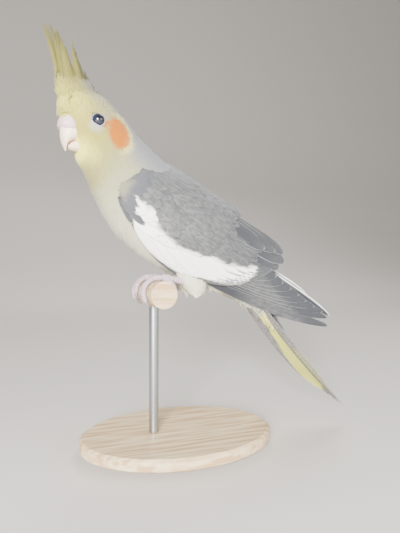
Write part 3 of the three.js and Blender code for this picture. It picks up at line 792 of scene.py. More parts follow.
class Signal:
    """A shader socket that Python's operators work on."""

    def __init__(self, box: "PaintBox", socket: bpy.types.NodeSocket) -> None:
        """Wraps a socket of a paint box."""
        self.box, self.socket = box, socket

    def _math(self, operation: str, first: Any, second: Any) -> "Signal":
        """A Math node on two values."""
        return self.box.node("ShaderNodeMath", {"operation": operation}, {0: first, 1: second})

    def __add__(self, other: Any) -> "Signal":
        """self + other."""
        return self._math("ADD", self, other)

    def __radd__(self, other: Any) -> "Signal":
        """other + self."""
        return self._math("ADD", other, self)

    def __sub__(self, other: Any) -> "Signal":
        """self - other."""
        return self._math("SUBTRACT", self, other)

    def __rsub__(self, other: Any) -> "Signal":
        """other - self."""
        return self._math("SUBTRACT", other, self)

    def __mul__(self, other: Any) -> "Signal":
        """self * other."""
        return self._math("MULTIPLY", self, other)

    def __rmul__(self, other: Any) -> "Signal":
        """other * self."""
        return self._math("MULTIPLY", other, self)

    def __abs__(self) -> "Signal":
        """The value without its sign."""
        return self._math("ABSOLUTE", self, 0.0)

    def either(self, other: Any) -> "Signal":
        """The greater of the two."""
        return self._math("MAXIMUM", self, other)

    def sine(self) -> "Signal":
        """The value's sine."""
        return self._math("SINE", self, 0.0)

    def step(self, low: float, high: float) -> "Signal":
        """A soft step from 0 at low to 1 at high."""
        values = {"Value": self, "From Min": low, "From Max": high}
        return self.box.node("ShaderNodeMapRange", {"interpolation_type": "SMOOTHSTEP"}, values)


class PaintBox:
    """The nodes of one material, around its main shader."""

    def __init__(self, name: str) -> None:
        """Makes an empty material.

        Args:
            name: Its name.
        """
        self.material = bpy.data.materials.new(name)
        self.material.use_nodes = True
        self.tree = self.material.node_tree
        self.shader = self.tree.nodes["Principled BSDF"]

    def feed(self, socket: bpy.types.NodeSocket, value: Any) -> None:
        """Links a signal to a socket, or sets the socket's own value.

        Args:
            socket: The socket.
            value: A signal, a colour or a plain value.
        """
        if isinstance(value, Signal):
            self.tree.links.new(value.socket, socket)
        elif isinstance(value, tuple) and socket.type == "RGBA":
            socket.default_value = (*value, 1.0)
        else:
            socket.default_value = value

    def node(self, kind: str, settings: dict[str, Any] | None = None,
             sockets: dict[Any, Any] | None = None, out: int = 0) -> Signal:
        """Adds a node.

        Args:
            kind: Its type.
            settings: Its properties, set first.
            sockets: Values or signals for its inputs, by name or number.
            out: Which output is wanted.

        Returns:
            That output.
        """
        made = self.tree.nodes.new(kind)
        for key, value in (settings or {}).items():
            setattr(made, key, value)
        for key, value in (sockets or {}).items():
            self.feed(made.inputs[key], value)
        return Signal(self, made.outputs[out])

    def value(self, name: str) -> Signal:
        """A number that the mesh keeps at each point."""
        return self.node("ShaderNodeAttribute", {"attribute_name": name}, out=2)

    def mix(self, mask: Any, low: Any, high: Any, blend: str = "MIX") -> Signal:
        """Goes from one colour to another as mask goes from 0 to 1."""
        settings = {"data_type": "RGBA", "blend_type": blend}
        return self.node("ShaderNodeMix", settings, {0: mask, 6: low, 7: high}, out=2)

    def noise(self, scale: float, detail: float = 2.0, stretch: Colour = (1, 1, 1)) -> Signal:
        """Cloudy noise over the object.

        Args:
            scale: How fine it is.
            detail: How rough.
            stretch: How much finer it is along each axis.

        Returns:
            The noise.
        """
        place = self.node("ShaderNodeTexCoord", out=3)
        spread = self.node("ShaderNodeVectorMath", {"operation": "MULTIPLY"}, {0: place, 1: stretch})
        return self.node("ShaderNodeTexNoise", None, {"Vector": spread, "Scale": scale, "Detail": detail})

    def on_vane(self, scale: float, run: float, off: float, detail: float = 2.0) -> Signal:
        """Noise over a feather's own length and width.

        Args:
            scale: How fine it is.
            run: How much finer it is along the feather.
            off: How much finer it is across it.
            detail: How rough.

        Returns:
            The noise.
        """
        settings = {0: self.value("run") * run, 1: self.value("off") * off, 2: self.value("tone") * 40.0}
        place = self.node("ShaderNodeCombineXYZ", None, settings)
        return self.node("ShaderNodeTexNoise", None, {"Vector": place, "Scale": scale, "Detail": detail})

    def bump(self, height: Signal, strength: float, distance: float) -> Signal:
        """Turns a height into a normal."""
        sockets = {"Height": height, "Strength": strength, "Distance": distance}
        return self.node("ShaderNodeBump", None, sockets)

    def shaded(self, colour: Signal, shade: Signal) -> Signal:
        """A colour made darker by a shade below 1."""
        grey = self.node("ShaderNodeCombineColor", None, {0: shade, 1: shade, 2: shade})
        return self.mix(1.0, colour, grey, "MULTIPLY")

    def finish(self, **sockets: Any) -> Material:
        """Feeds the main shader; an underscore stands for a space in a socket's name.

        Args:
            sockets: Values or signals by socket.

        Returns:
            The material.
        """
        for key, value in sockets.items():
            self.feed(self.shader.inputs[key.replace("_", " ")], value)
        return self.material


@dataclass(frozen=True)
class SoftPlumage:
    """Small soft body feathers and the skin under them."""

    name: str
    grey: Colour = tint("#95916d")
    back: Colour = tint("#77787a")
    cream: Colour = tint("#9b9345")
    gold: Colour = tint("#f3ea74")
    cheek: Colour = tint("#b1660e")
    bare: Colour = tint("#a6a6b4")
    # olive of the upper head; the throat takes the same colour as painted shade under the bill
    olive_and_shade: Colour = tint("#8f8757")
    white: Colour = tint("#f1efe2")
    slate: Colour = tint("#56575b")
    fleck: Colour = tint("#565657")
    cloud: float = 0.1
    stray: float = 0.07
    tips: float = 0.05

    def paint(self) -> Material:
        """Paints from the masks that skin and coat carry.

        Returns:
            The material.
        """
        box = PaintBox(self.name)
        colour = self.grey
        for name in ("back", "white", "cream", "gold", "olive_and_shade", "cheek", "bare", "slate"):
            colour = box.mix(box.value(name), colour, getattr(self, name))
        colour = box.mix(box.noise(900.0).step(0.44, 0.6) * box.value("flecks"), colour, self.fleck)
        cloud = box.noise(260.0, 3.0)
        shade = 1.0 - self.cloud - self.stray + cloud * self.cloud + box.value("tone") * self.stray
        shade = shade + box.value("along") * self.tips
        colour = box.shaded(colour, shade)
        normal = box.bump(box.noise(3000.0, 2.0), 0.12, 0.0002)
        return box.finish(Base_Color=colour, Roughness=0.85, Normal=normal, Sheen_Weight=0.2,
                          Specular_IOR_Level=0.2)


@dataclass(frozen=True)
class VanePaint:
    """A large feather with a shaft, barbs and pale edges."""

    name: str
    base: Colour
    deep: Colour
    edge: Colour
    dusk: Colour = tint("#313338")
    below: Colour = tint("#a39c97")
    white: Colour = tint("#fbfaf2")
    gold: Colour = tint("#ece79a")
    edge_from: float = 0.86
    barb: float = 0.75
    stray: float = 0.12
    mottle: float = 0.0
    rough: float = 0.62
    relief: float = 0.35

    def paint(self) -> Material:
        """Paints over each feather's own length and width.

        Returns:
            The material.
        """
        box = PaintBox(self.name)
        off, run = abs(box.value("off")), box.value("run")
        barbs = ((run - off * 1.25) * (2 * math.pi / self.barb)).sine()
        cloud = box.on_vane(0.5, 0.5, 1.4, 3.0)
        colour = box.mix(cloud.step(0.35, 0.7), self.deep, self.base)
        colour = box.mix(box.value("dusk"), colour, self.dusk)
        colour = box.mix(box.value("under") * box.value("lower"), colour, self.below)
        if self.mottle:
            specks = box.on_vane(1.0, 0.9, 0.7, 2.0).step(0.44, 0.56)
            colour = box.mix(specks * self.mottle, colour, self.deep)
        rim = abs(box.value("across")).step(self.edge_from, self.edge_from + 0.1)
        rim = rim.either(1.0 - box.value("left").step(0.6, 1.7))
        colour = box.mix(rim * box.value("rim"), colour, self.edge)
        seen = 1.0 - box.value("lower") * (1.0 - box.value("under"))
        colour = box.mix(box.value("gold") * seen, colour, self.gold)
        colour = box.mix(box.value("white"), colour, self.white)
        waves = (run * 3.4 + box.on_vane(0.45, 1.0, 1.0, 2.0) * 14.0).sine().step(-0.1, 0.7)
        colour = box.mix(waves * box.value("barred"), colour, self.deep)
        shaft = 1.0 - off.step(0.12, 0.3)
        shade = 1.0 - self.stray + box.value("tone") * self.stray + barbs * 0.03 - shaft * 0.1
        colour = box.shaded(colour, shade)
        normal = box.bump(barbs, self.relief, 0.00012)
        return box.finish(Base_Color=colour, Roughness=self.rough, Normal=normal, Sheen_Weight=0.12,
                          Specular_IOR_Level=0.3)


@dataclass(frozen=True)
class Horn:
    """Smooth horn of bill or claw, paler or darker towards its tip."""

    name: str
    root: Colour
    tip: Colour
    # colour of the painted shade along the bill's gape
    line: Colour
    rough: float = 0.38

    def paint(self) -> Material:
        """Paints with fine growth lines along it, and with painted shade where the line mask is set.

        Returns:
            The material.
        """
        box = PaintBox(self.name)
        streak = box.noise(300.0, 3.0, (1.0, 3.0, 0.5))
        colour = box.mix(box.value("along"), self.root, self.tip)
        colour = box.mix(streak.step(0.5, 0.75) * 0.35, colour, self.root)
        # painted shade along the bill's gape, from the line mask; the claws carry none
        colour = box.mix(box.value("line"), colour, self.line)
        normal = box.bump(streak, 0.25, 0.0002)
        return box.finish(Base_Color=colour, Roughness=self.rough, Normal=normal, Subsurface_Weight=0.15,
                          Subsurface_Radius=(0.003, 0.0012, 0.0008), Subsurface_Scale=0.4)


@dataclass(frozen=True)
class BareSkin:
    """Bare skin with fine wrinkles or small scales."""

    name: str
    pale: Colour
    deep: Colour
    scale: float
    strength: float
    rough: float = 0.55
    grain: float = 0.6

    def paint(self) -> Material:
        """Paints from cells and cloud.

        Returns:
            The material.
        """
        box = PaintBox(self.name)
        place = box.node("ShaderNodeTexCoord", out=3)
        cells = box.node("ShaderNodeTexVoronoi", {"feature": "DISTANCE_TO_EDGE"},
                         {"Vector": place, "Scale": self.scale})
        grain = cells.step(0.0, 0.25)
        pale = 1.0 - self.grain + grain * (self.grain * 0.6) + box.noise(500.0) * (self.grain * 0.4)
        colour = box.mix(pale, self.deep, self.pale)
        # the line mask: dark joints between the foot's scutes, painted shade in the nostrils, and painted
        # shade where the lids meet the eyeball and in their front corner
        colour = box.mix(box.value("line"), colour, self.deep)
        normal = box.bump(grain, self.strength, 0.00025)
        return box.finish(Base_Color=colour, Roughness=self.rough, Normal=normal, Subsurface_Weight=0.2,
                          Subsurface_Radius=(0.003, 0.0012, 0.001), Subsurface_Scale=0.4)


@dataclass(frozen=True)
class EyeGloss:
    """A dark wet eye with a slate iris round its pupil."""

    name: str
    pupil: Colour = tint("#0c0e13")
    iris: Colour = tint("#1d2438")
    rim: Colour = tint("#0d1019")

    def paint(self) -> Material:
        """Paints from the distance to the middle of the pupil.

        Returns:
            The material.
        """
        box = PaintBox(self.name)
        away = box.value("away")
        colour = box.mix(away.step(0.36, 0.56), self.pupil, self.iris)
        colour = box.mix(away.step(0.66, 0.92), colour, self.rim)
        colour = box.mix(box.noise(900.0).step(0.4, 0.7) * 0.3, colour, self.pupil)
        return box.finish(Base_Color=colour, Roughness=0.12, Coat_Weight=1.0, Coat_Roughness=0.03)


@dataclass(frozen=True)
class TurnedWood:
    """Pale wood with a fine straight grain under a thin satin varnish."""

    name: str = "stand_wood"
    pale: Colour = tint("#d8c29a")
    deep: Colour = tint("#b5946a")
    stretch: Colour = (1.2, 16.0, 14.0)

    def paint(self) -> Material:
        """Paints from stretched noise.

        Returns:
            The material.
        """
        box = PaintBox(self.name)
        grain, pores = box.noise(22.0, 6.0, self.stretch), box.noise(160.0, 2.0, self.stretch)
        colour = box.mix(grain.step(0.36, 0.66), self.pale, self.deep)
        colour = box.mix(pores.step(0.62, 0.74) * 0.5, colour, self.deep)
        normal = box.bump(pores, 0.12, 0.0004)
        return box.finish(Base_Color=colour, Roughness=0.48, Normal=normal, Coat_Weight=0.15,
                          Coat_Roughness=0.3)


@dataclass(frozen=True)
class BrushedSteel:
    """Steel rod with fine rings from the brush."""

    name: str = "stand_steel"
    colour: Colour = tint("#a9acb0")

    def paint(self) -> Material:
        """Paints from noise stretched round the rod.

        Returns:
            The material.
        """
        box = PaintBox(self.name)
        rings = box.noise(500.0, 2.0, (0.1, 0.1, 6.0))
        rough = 0.28 + rings * 0.16
        colour = box.mix(rings * 0.4, self.colour, tint("#8d9094"))
        relief = box.bump(rings, 0.1, 0.0002)
        return box.finish(Base_Color=colour, Metallic=1.0, Roughness=rough, Normal=relief)


@dataclass(frozen=True)
class PlainGround:
    """The plain ground of the studio."""

    name: str = "studio_ground"
    colour: Colour = tint("#cdc7c0")

    def paint(self) -> Material:
        """The plain material."""
        return PaintBox(self.name).finish(Base_Color=self.colour, Roughness=0.9)


# Markings, the same on skin and coat

@dataclass
class Markings:
    """Where the plumage changes colour, and where shade is painted at the throat: the face in the head's own
    frame, the rest in the bird's.

    Pairs of numbers are the places between which a colour fades in.
    """

    cheek_at: Pair = (-35.9, 96.8)
    cheek_size: Pair = (8.0, 9.7)
    cheek_lean: float = 14.0
    sides: Pair = (5.0, 8.0)
    bare_at: Pair = (-50.4, 97.8)
    face_at: Triple = (-60.0, 0.0, 98.0)
    face_reach: Pair = (13.0, 37.0)
    chin_at: Triple = (-51.0, 0.0, 84.0)
    chin_reach: Pair = (3.0, 15.0)
    brow_at: Triple = (-61.0, 0.0, 113.0)
    brow_reach: Pair = (5.0, 19.0)
    crest_from: Pair = (113.0, 119.0)
    crown_from: Pair = (95.0, 106.0)
    # painted shade at the throat under the bill, laid on through the olive colour
    throat_shade_at: Pair = (-47.0, 73.0)
    throat_shade_reach: Pair = (3.0, 12.0)
    back_line: Pairs = ((-46.0, 100.0), (60.0, 24.0))
    thigh_from: Pair = (24.0, 14.0)
    belly_from: Pair = (80.0, 30.0)
    vent_from: Pair = (14.0, 4.0)

    def cheeks(self, x: Array, y: Array, z: Array) -> tuple[Array, Array, Array]:
        """The orange cheek and what lies round it.

        Args:
            x: Places along the head.
            y: Places across it.
            z: Heights.

        Returns:
            The masks of the cheek, of its yellow rim and of the bare skin by the eye.
        """
        lean, on_side = math.radians(self.cheek_lean), smooth(*self.sides, np.abs(y))
        across, up = x - self.cheek_at[0], z - self.cheek_at[1]
        a = (across * math.cos(lean) + up * math.sin(lean)) / self.cheek_size[0]
        b = (up * math.cos(lean) - across * math.sin(lean)) / self.cheek_size[1]
        away = np.hypot(a, b)
        cheek = (1 - smooth(0.7, 1.12, away)) * on_side
        rim = (1 - smooth(0.95, 1.4, away)) * on_side * smooth(-0.6, 0.5, a)
        near_eye = np.hypot(x - self.bare_at[0], (z - self.bare_at[1]) / 1.1)
        return cheek, rim, 0.6 * (1 - smooth(1.6, 4.6, near_eye)) * on_side

    def over_back(self, x: Array, z: Array) -> Array:
        """The grey of the back, above a line from the crown to the tail.

        Args:
            x: Places along the bird.
            z: Heights.

        Returns:
            Its mask.
        """
        (x0, z0), (x1, z1) = self.back_line
        over = ((z - z0) * (x1 - x0) - (x - x0) * (z1 - z0)) / math.hypot(x1 - x0, z1 - z0)
        return smooth(-4.0, 16.0, over + 9.0 * smooth(-34.0, -16.0, x)) * smooth(-48.0, -14.0, x)

    def of(self, points: Array) -> Masks:
        """The masks of all markings.

        Args:
            points: Points of the bird.

        Returns:
            Values from 0 to 1 by the marking's name.
        """
        head, x, z = TURN.back(points), points[..., 0], points[..., 2]
        along, high = head[..., 0], head[..., 2]
        cheek, rim, bare = self.cheeks(along, head[..., 1], high)
        far = np.linalg.norm((head - np.array(self.face_at)) * (1.0, 1.0, 0.82), axis=-1)
        cream = 1 - smooth(*self.face_reach, far)
        chin = reach(head, self.chin_at, *self.chin_reach)
        brow = reach(head, self.brow_at, *self.brow_reach)
        crest = smooth(*self.crest_from, high) * (1 - 0.9 * smooth(-54.0, -42.0, along))
        crown = smooth(*self.crown_from, high) * smooth(-57.0, -45.0, along)
        # painted shade at the throat, under the bill
        throat_shade = reach(points[..., ::2], self.throat_shade_at, *self.throat_shade_reach)
        olive_and_shade = smooth(103.0, 120.0, high + 0.35 * (along + 56.0)) * smooth(-34.0, -48.0, along)
        back = self.over_back(x, z)
        thigh = smooth(*self.thigh_from, z) * (smooth(-6.0, 6.0, x) * smooth(40.0, 24.0, x)) * (1 - back)
        belly = 0.3 * smooth(*self.belly_from, z) * (1 - back)
        vent = smooth(*self.vent_from, z) * smooth(44.0, 58.0, x)
        return {
            "cheek": cheek,
            "bare": bare,
            # olive of the upper head, and painted shade at the throat
            "olive_and_shade": np.maximum(0.9 * olive_and_shade * (1 - 0.7 * crown), 0.8 * throat_shade),
            "gold": np.maximum.reduce([chin * 0.9, brow * 0.35, rim * 0.5 * (1 - cheek), crest * 0.35]),
            "cream": np.clip(np.maximum(cream * 1.05, crest * 0.9) + 0.3 * thigh, 0, 1) * (1 - 0.75 * crown),
            "back": np.maximum(back, 0.9 * crown * smooth(104.0, 114.0, high)),
            "flecks": 0.6 * vent,
            "white": np.maximum.reduce([0.8 * thigh, 0.35 * chin, 0.4 * vent, belly]),
        }


MARKINGS = Markings()


def dress(piece: bpy.types.Object, slot: str, *nodes: str) -> None:
    """Makes a piece part of the bird, which rides on its one body.

    Args:
        piece: The object.
        slot: The name of a finish; not used.
        nodes: The frame's nodes that it stands for.
    """
    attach(piece, "root")
    if nodes:
        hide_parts(*nodes)
    LOG.info("%s: %d faces", piece.name, len(piece.data.polygons))


# The bird

def thigh_of(side: Side) -> OvalForm:
    """The form of a feathered thigh.

    Args:
        side: Its side.

    Returns:
        The form.
    """
    rows = ((3.0, 26.0, 19.0, 24.0, 5.0), (6.0, 16.0, 25.0, 15.0, 5.4), (12.0, 6.5, 27.0, 4.5, 4.8),
            (17.0, 0.5, 24.0, -0.5, 2.6))
    return OvalForm(rows, aside=side.value * 9.6)


@dataclass
class Skin:
    """One skin under the whole coat, without a seam."""

    depth: float = 1.3
    thigh_depth: float = 0.7
    rump_depth: float = 1.1
    arm_span: Pair = (-1, 96)
    arm_thick: Pair = (1.6, 4)  # at its end, and how much more at its start
    arm_sides: Pair = (-1.1, -1.9)  # heights of its two sides over the wing's face
    voxel: float = 0.0009

    def forms(self) -> Draft:
        """The closed forms that grow together.

        Returns:
            Their draft.
        """
        draft, angles = Draft(), all_round(64)
        tube(draft, BODY.at(down(110, 16), angles, -self.depth))
        for side in Side:
            tube(draft, thigh_of(side).at(down(24, 3), angles, -self.thigh_depth))
            self.arm(draft, WingFace(side))
        tube(draft, RumpForm(depth=self.rump_depth).at(down(40), angles))
        return draft

    def arm(self, draft: Draft, face: WingFace) -> None:
        """Adds the fleshy part of a wing, a sheet that is thickest at its middle.

        Args:
            draft: What it is added to.
            face: The wing's outer face.
        """
        u, w = np.linspace(*self.arm_span, 40)[:, None], np.linspace(-0.94, 0.94, 16)[None]
        low, high = face.edge(u[:, 0])
        v = low[:, None] + (high - low)[:, None] * (w + 1) / 2
        thin, more = self.arm_thick
        deep = (thin + more * (1 - smooth(45, 110, u))) * np.sqrt(1 - w ** 2)
        top = face.over(u + 0 * w, v, 0 * v + self.arm_sides[0])
        bottom = face.over(u + 0 * w, v, self.arm_sides[1] - deep)
        tube(draft, np.concatenate([top, bottom[:, ::-1]], axis=1))

    def build(self) -> None:
        """Joins the forms into one closed skin and paints it."""
        paint = SoftPlumage("skin_plumage").paint()
        rough = self.forms().to_object("rough_skin", paint)
        grown = rough.modifiers.new("grown", "REMESH")
        grown.mode, grown.voxel_size, grown.use_smooth_shade = "VOXEL", self.voxel, True
        even = rough.modifiers.new("even", "SMOOTH")
        even.factor, even.iterations = 0.5, 6
        shape = bpy.data.meshes.new_from_object(rough.evaluated_get(bpy.context.evaluated_depsgraph_get()))
        bpy.data.objects.remove(rough)
        shape.name = "skin"
        piece = bpy.data.objects.new("skin", shape)
        bpy.context.scene.collection.objects.link(piece)
        points = np.zeros(len(shape.vertices) * 3, np.float32)
        shape.vertices.foreach_get("co", points)
        points = points.reshape(-1, 3) * 1000.0 - TO_ROW
        for name, value in {**MARKINGS.of(points), "tone": 0.2 + 0 * points[:, 0]}.items():
            store = shape.attributes.new(name, "FLOAT", "POINT")
            store.data.foreach_set("value", value.astype(np.float32))
        shape.materials.clear()
        shape.materials.append(paint)
        dress(piece, "plumage_grey", "head", "neck", "torso", "thigh_left", "thigh_right")


@dataclass
class EyePlace:
    """Where an eye sits in the head's own frame, and which way it looks."""

    side: Side
    x: float = -45.3
    y: float = 10.3
    z: float = 100.4
    radius: float = 4.0
    forward: float = 12.0

    def axes(self) -> tuple[Array, Array, Array]:
        """The eye's own directions.

        Returns:
            Where it looks, its front and its up.
        """
        a = math.radians(self.forward)
        look = np.array([-math.sin(a), self.side.value * math.cos(a), 0.0])
        front = np.array([-math.cos(a), -self.side.value * math.sin(a), 0.0])
        return look, front, np.array([0.0, 0.0, 1.0])

    def place(self, out: Array, front: Array, up: Array) -> Array:
        """Places points about the eye's middle, on the turned head.

        Args:
            out: How far they stand out of it.
            front: How far before it.
            up: How far over it.

        Returns:
            The points.
        """
        middle = np.array([self.x, self.side.value * self.y, self.z])
        steps = np.stack(np.broadcast_arrays(out, front, up), axis=-1)
        return TURN.turn(middle + steps @ np.stack(self.axes()))


@dataclass(frozen=True)
class Stretch:
    """A stretch of a form that tufts of one size cover."""

    stations: Pair
    spacing: float
    length: float
    half: float
    tilt: float = 0.05
    sink: float = 1.3
    angles: Pair = (-math.pi, math.pi)
    raised: float = 0.0


@dataclass
class Coat:
    """The small feathers of head, neck, trunk and thighs."""

    depth: float = 0.3
    stray: float = 0.1
    smudge: float = 0.45
    seed: int = SEED
    lid_clear: float = 3.8
    bill_heights: Triple = (84.0, 92.6, 102.6)
    swept: bool = True
    sweep_to: Triple = (-0.15, 0.0, 1.0)  # where the forehead's feathers point
    brow: Stretch = Stretch((0, 1.2), 0.32, 2.6, 0.26, 0.05, 0.5)
    head: tuple[Stretch, ...] = (
        Stretch((0, 0.9), 0.3, 2.8, 0.26, 0.05, 0.6),
        Stretch((0.7, 2.1), 0.32, 3, 0.28, 0.05, 0.8),
        Stretch((1.9, 3.6), 0.35, 3.4, 0.32, 0.05, 0.9),
    )
    neck: tuple[Stretch, ...] = (Stretch((3.4, 5.2), 0.44, 3.7, 0.4), Stretch((5.0, 7.0), 0.53, 4.5, 0.5))
    breast: tuple[Stretch, ...] = (Stretch((6.8, 8.6), 0.66, 5.4, 0.64),
                                   Stretch((8.4, 10.4), 0.76, 6.2, 0.78))
    belly: tuple[Stretch, ...] = (
        Stretch((10.1, 16), 0.9, 6.8, 0.92),
        Stretch((13.6, 16), 1.2, 8, 0.8, 0.26, 1.3, (0.75 * math.pi, 1.25 * math.pi)),
    )
    thigh: Stretch = Stretch((0, 2.6), 0.7, 5.6, 0.6, 0.3)
    bend: Stretch = Stretch((-2, 9), 0.5, 4.6, 0.5, 0.04, 1.8, (-14, 24), 1.25)
    rump: tuple[Stretch, ...] = (
        Stretch((0, 0.95), 0.8, 6.5, 0.7, 0.06),
        Stretch((0, 0.7), 1, 8.5, 0.6, 0.26, 1.3, (0.72 * math.pi, 1.28 * math.pi)),
    )

    def bare(self, points: Array) -> Array:
        """Tells where no feather lies: at the eyes, and under cere and bill.

        Args:
            points: Points of the bird.

        Returns:
            True where it is bare.
        """
        head = TURN.back(points)
        x, y, z = head[..., 0], np.abs(head[..., 1]), head[..., 2]
        place, (low, middle, high) = EyePlace(Side.LEFT), self.bill_heights
        eye = np.hypot(x - place.x + 0.8, z - place.z) < self.lid_clear
        cere = (z > middle) & (z < high) & (y < 6.6) & (x < -53.4)
        bill = (z > low) & (z <= middle) & (y < 5.4) & (x < np.interp(z, (low, middle), (-57.0, -53.6)))
        return (eye & (y > 6)) | cere | bill

    def sweep(self, roots: Array, lie: Array, normal: Array) -> tuple[Array, Array]:
        """Turns the lie upwards on the forehead, where the feathers run into the crest.

        Args:
            roots: Places of feathers.
            lie: Where they point.
            normal: The unit vectors away from the skin.

        Returns:
            Where they point now, and how far each has been turned.
        """
        head = TURN.back(roots)
        share = smooth(102.0, 109.0, head[..., 2]) * smooth(-36.0, -48.0, head[..., 0])
        share = share * (1 - smooth(0.75, 0.95, normal[..., 2]))
        up = np.array(self.sweep_to)
        rise = unit(up - normal * (normal @ up)[:, None])
        return unit(lie + (rise - lie) * share[:, None]), share

    def grow(self, draft: Draft, face: Surface, stretch: Stretch, whole: Pair,
             columns: Pair, rng: Random) -> None:
        """Covers a stretch of a form with tufts.

        Args:
            draft: What they are added to.
            face: The form.
            stretch: Where on it, and how large the tufts are.
            whole: The first and last station on the piece's bake map.
            columns: The share of the map's width that this form has.
            rng: Draws their places and differences.
        """
        us, vs = spread_roots(face, stretch, rng)
        roots, lie, _, normal = face.frame(us, vs)
        lie, swept = self.sweep(roots, lie, normal) if self.swept else (lie, 0.0)
        lie = unit(lie + np.cross(normal, lie) * rng.normal(0, self.stray, len(us))[:, None])
        length = stretch.length * rng.uniform(0.8, 1.2, len(us)) * (1 + 0.8 * swept)
        keep = ~(self.bare(roots) | self.bare(roots + lie * length[:, None])) & face.covered(us, vs)
        us, vs, roots, lie, normal, length = (a[keep] for a in (us, vs, roots, lie, normal, length))
        count = len(us)
        across = columns[0] + (vs / face.wide + 0.5) % 1.0 * (columns[1] - columns[0])
        spots = np.stack([across, (us - whole[0]) / (whole[1] - whole[0])], axis=-1) * 0.98 + 0.01
        marks = {**MARKINGS.of(roots + rng.normal(0, self.smudge, (count, 3))), **face.marks(us, vs)}
        lay_tufts(draft, roots + normal * (stretch.raised - self.depth), lie, normal, length,
                  stretch.half * rng.uniform(0.8, 1.25, count), stretch.tilt * rng.uniform(0.2, 1.6, count),
                  stretch.sink, spots, tone=rng.random(count), **marks)

    def build(self) -> None:
        """Grows the coat piece by piece."""
        rng = np.random.default_rng(self.seed)
        paint = SoftPlumage("coat_plumage").paint()
        for name in ("head", "neck", "breast", "belly"):
            draft, stretches = Draft(), getattr(self, name)
            whole = (stretches[0].stations[0], max(stretch.stations[1] for stretch in stretches))
            for stretch in stretches:
                self.grow(draft, BODY, stretch, whole, (0.0, 1.0), rng)
            if name == "head":
                self.grow(draft, BROW, self.brow, whole, (0.0, 1.0), rng)
            slot = "plumage_face" if name == "head" else "plumage_grey"
            dress(draft.to_object(f"coat_{name}", paint, mapped=True), slot)
        thighs, bends, rump = Draft(), Draft(), Draft()
        for side, columns in ((Side.LEFT, (0.0, 0.49)), (Side.RIGHT, (0.51, 1.0))):
            self.grow(thighs, thigh_of(side), self.thigh, self.thigh.stations, columns, rng)
            self.grow(bends, WingFace(side), self.bend, self.bend.stations, columns, rng)
        for stretch in self.rump:
            self.grow(rump, RumpForm(), stretch, (0.0, 1.0), (0.0, 1.0), rng)
        for name, draft in (("thighs", thighs), ("bends", bends), ("rump", rump)):
            dress(draft.to_object(f"coat_{name}", paint, mapped=True), "plumage_grey")


@dataclass
class Eye:
    """One eye: a wet ball in a ring of bare lid skin."""

    side: Side
    cornea: float = 0.25
    iris_to: float = 1.15  # radians from the middle of the pupil
    lid_radius: float = 3.72
    lid_out: float = 2.0
    lid_thick: float = 0.3
    corner_at: float = -42.0  # degrees from the front, upwards

    def build(self) -> None:
        """Makes the ball, with a bulge for the cornea, and its lids."""
        place, name, ball = EyePlace(self.side), self.side.name.lower(), Draft()
        polar, spin = down(33, math.pi), all_round(48)
        bulge = place.radius + self.cornea * np.exp(-(polar / 0.55) ** 2)
        out, wide = bulge * np.cos(polar) + 0 * spin, bulge * np.sin(polar)
        rings = place.place(out, wide * np.cos(spin), wide * np.sin(spin))
        tube(ball, rings, away=np.clip(polar / self.iris_to, 0, 1))
        dress(ball.to_object(f"eyeball_{name}", EyeGloss(f"eye_gloss_{name}").paint()), "eye", f"eye_{name}")
        self.lids(place, name)

    def lids(self, place: EyePlace, name: str) -> None:
        """Makes the ring of lid skin, pulled to a soft corner at the front, with painted shade on its inner
        edge against the eyeball and in a spot at that corner.

        Args:
            place: Where the eye sits.
            name: The side's name.
        """
        draft, a, b = Draft(), all_round(96).T, all_round(24)
        turn = (a - math.radians(self.corner_at) + math.pi) % (2 * math.pi) - math.pi
        corner = np.exp(-(turn / 0.62) ** 2)
        fold = 0.05 * np.sin(23 * a) * np.cos(b) + 0.04 * np.sin(3 * b)
        thick = self.lid_thick * (1 + 0.9 * corner - 0.25 * np.sin(a)) + fold
        ring = self.lid_radius + 0.7 * corner + thick * np.cos(b) * 1.25
        out = self.lid_out + thick * np.sin(b) * 0.85 - 0.45 * corner
        rings = place.place(out, ring * np.cos(a), ring * np.sin(a))
        rings = np.concatenate([rings, rings[:1]])
        # painted shade in the notch of the front corner, and along the inner edge where the lids meet the
        # eyeball
        corner_shade = np.exp(-(turn / 0.16) ** 2) * np.exp(-((b - 0.9) / 0.55) ** 2)
        rim = smooth(-0.5, -0.95, np.cos(b)) * 0.8 + 0 * a
        line = np.maximum(corner_shade, rim)
        tube(draft, rings, caps=False, line=np.concatenate([line, line[:1]]))
        paint = BareSkin(f"lid_skin_{name}", tint("#989094"), tint("#4c4650"), 2400.0, 0.3, grain=0.25)
        dress(draft.to_object(f"lids_{name}", paint.paint()), "cere")


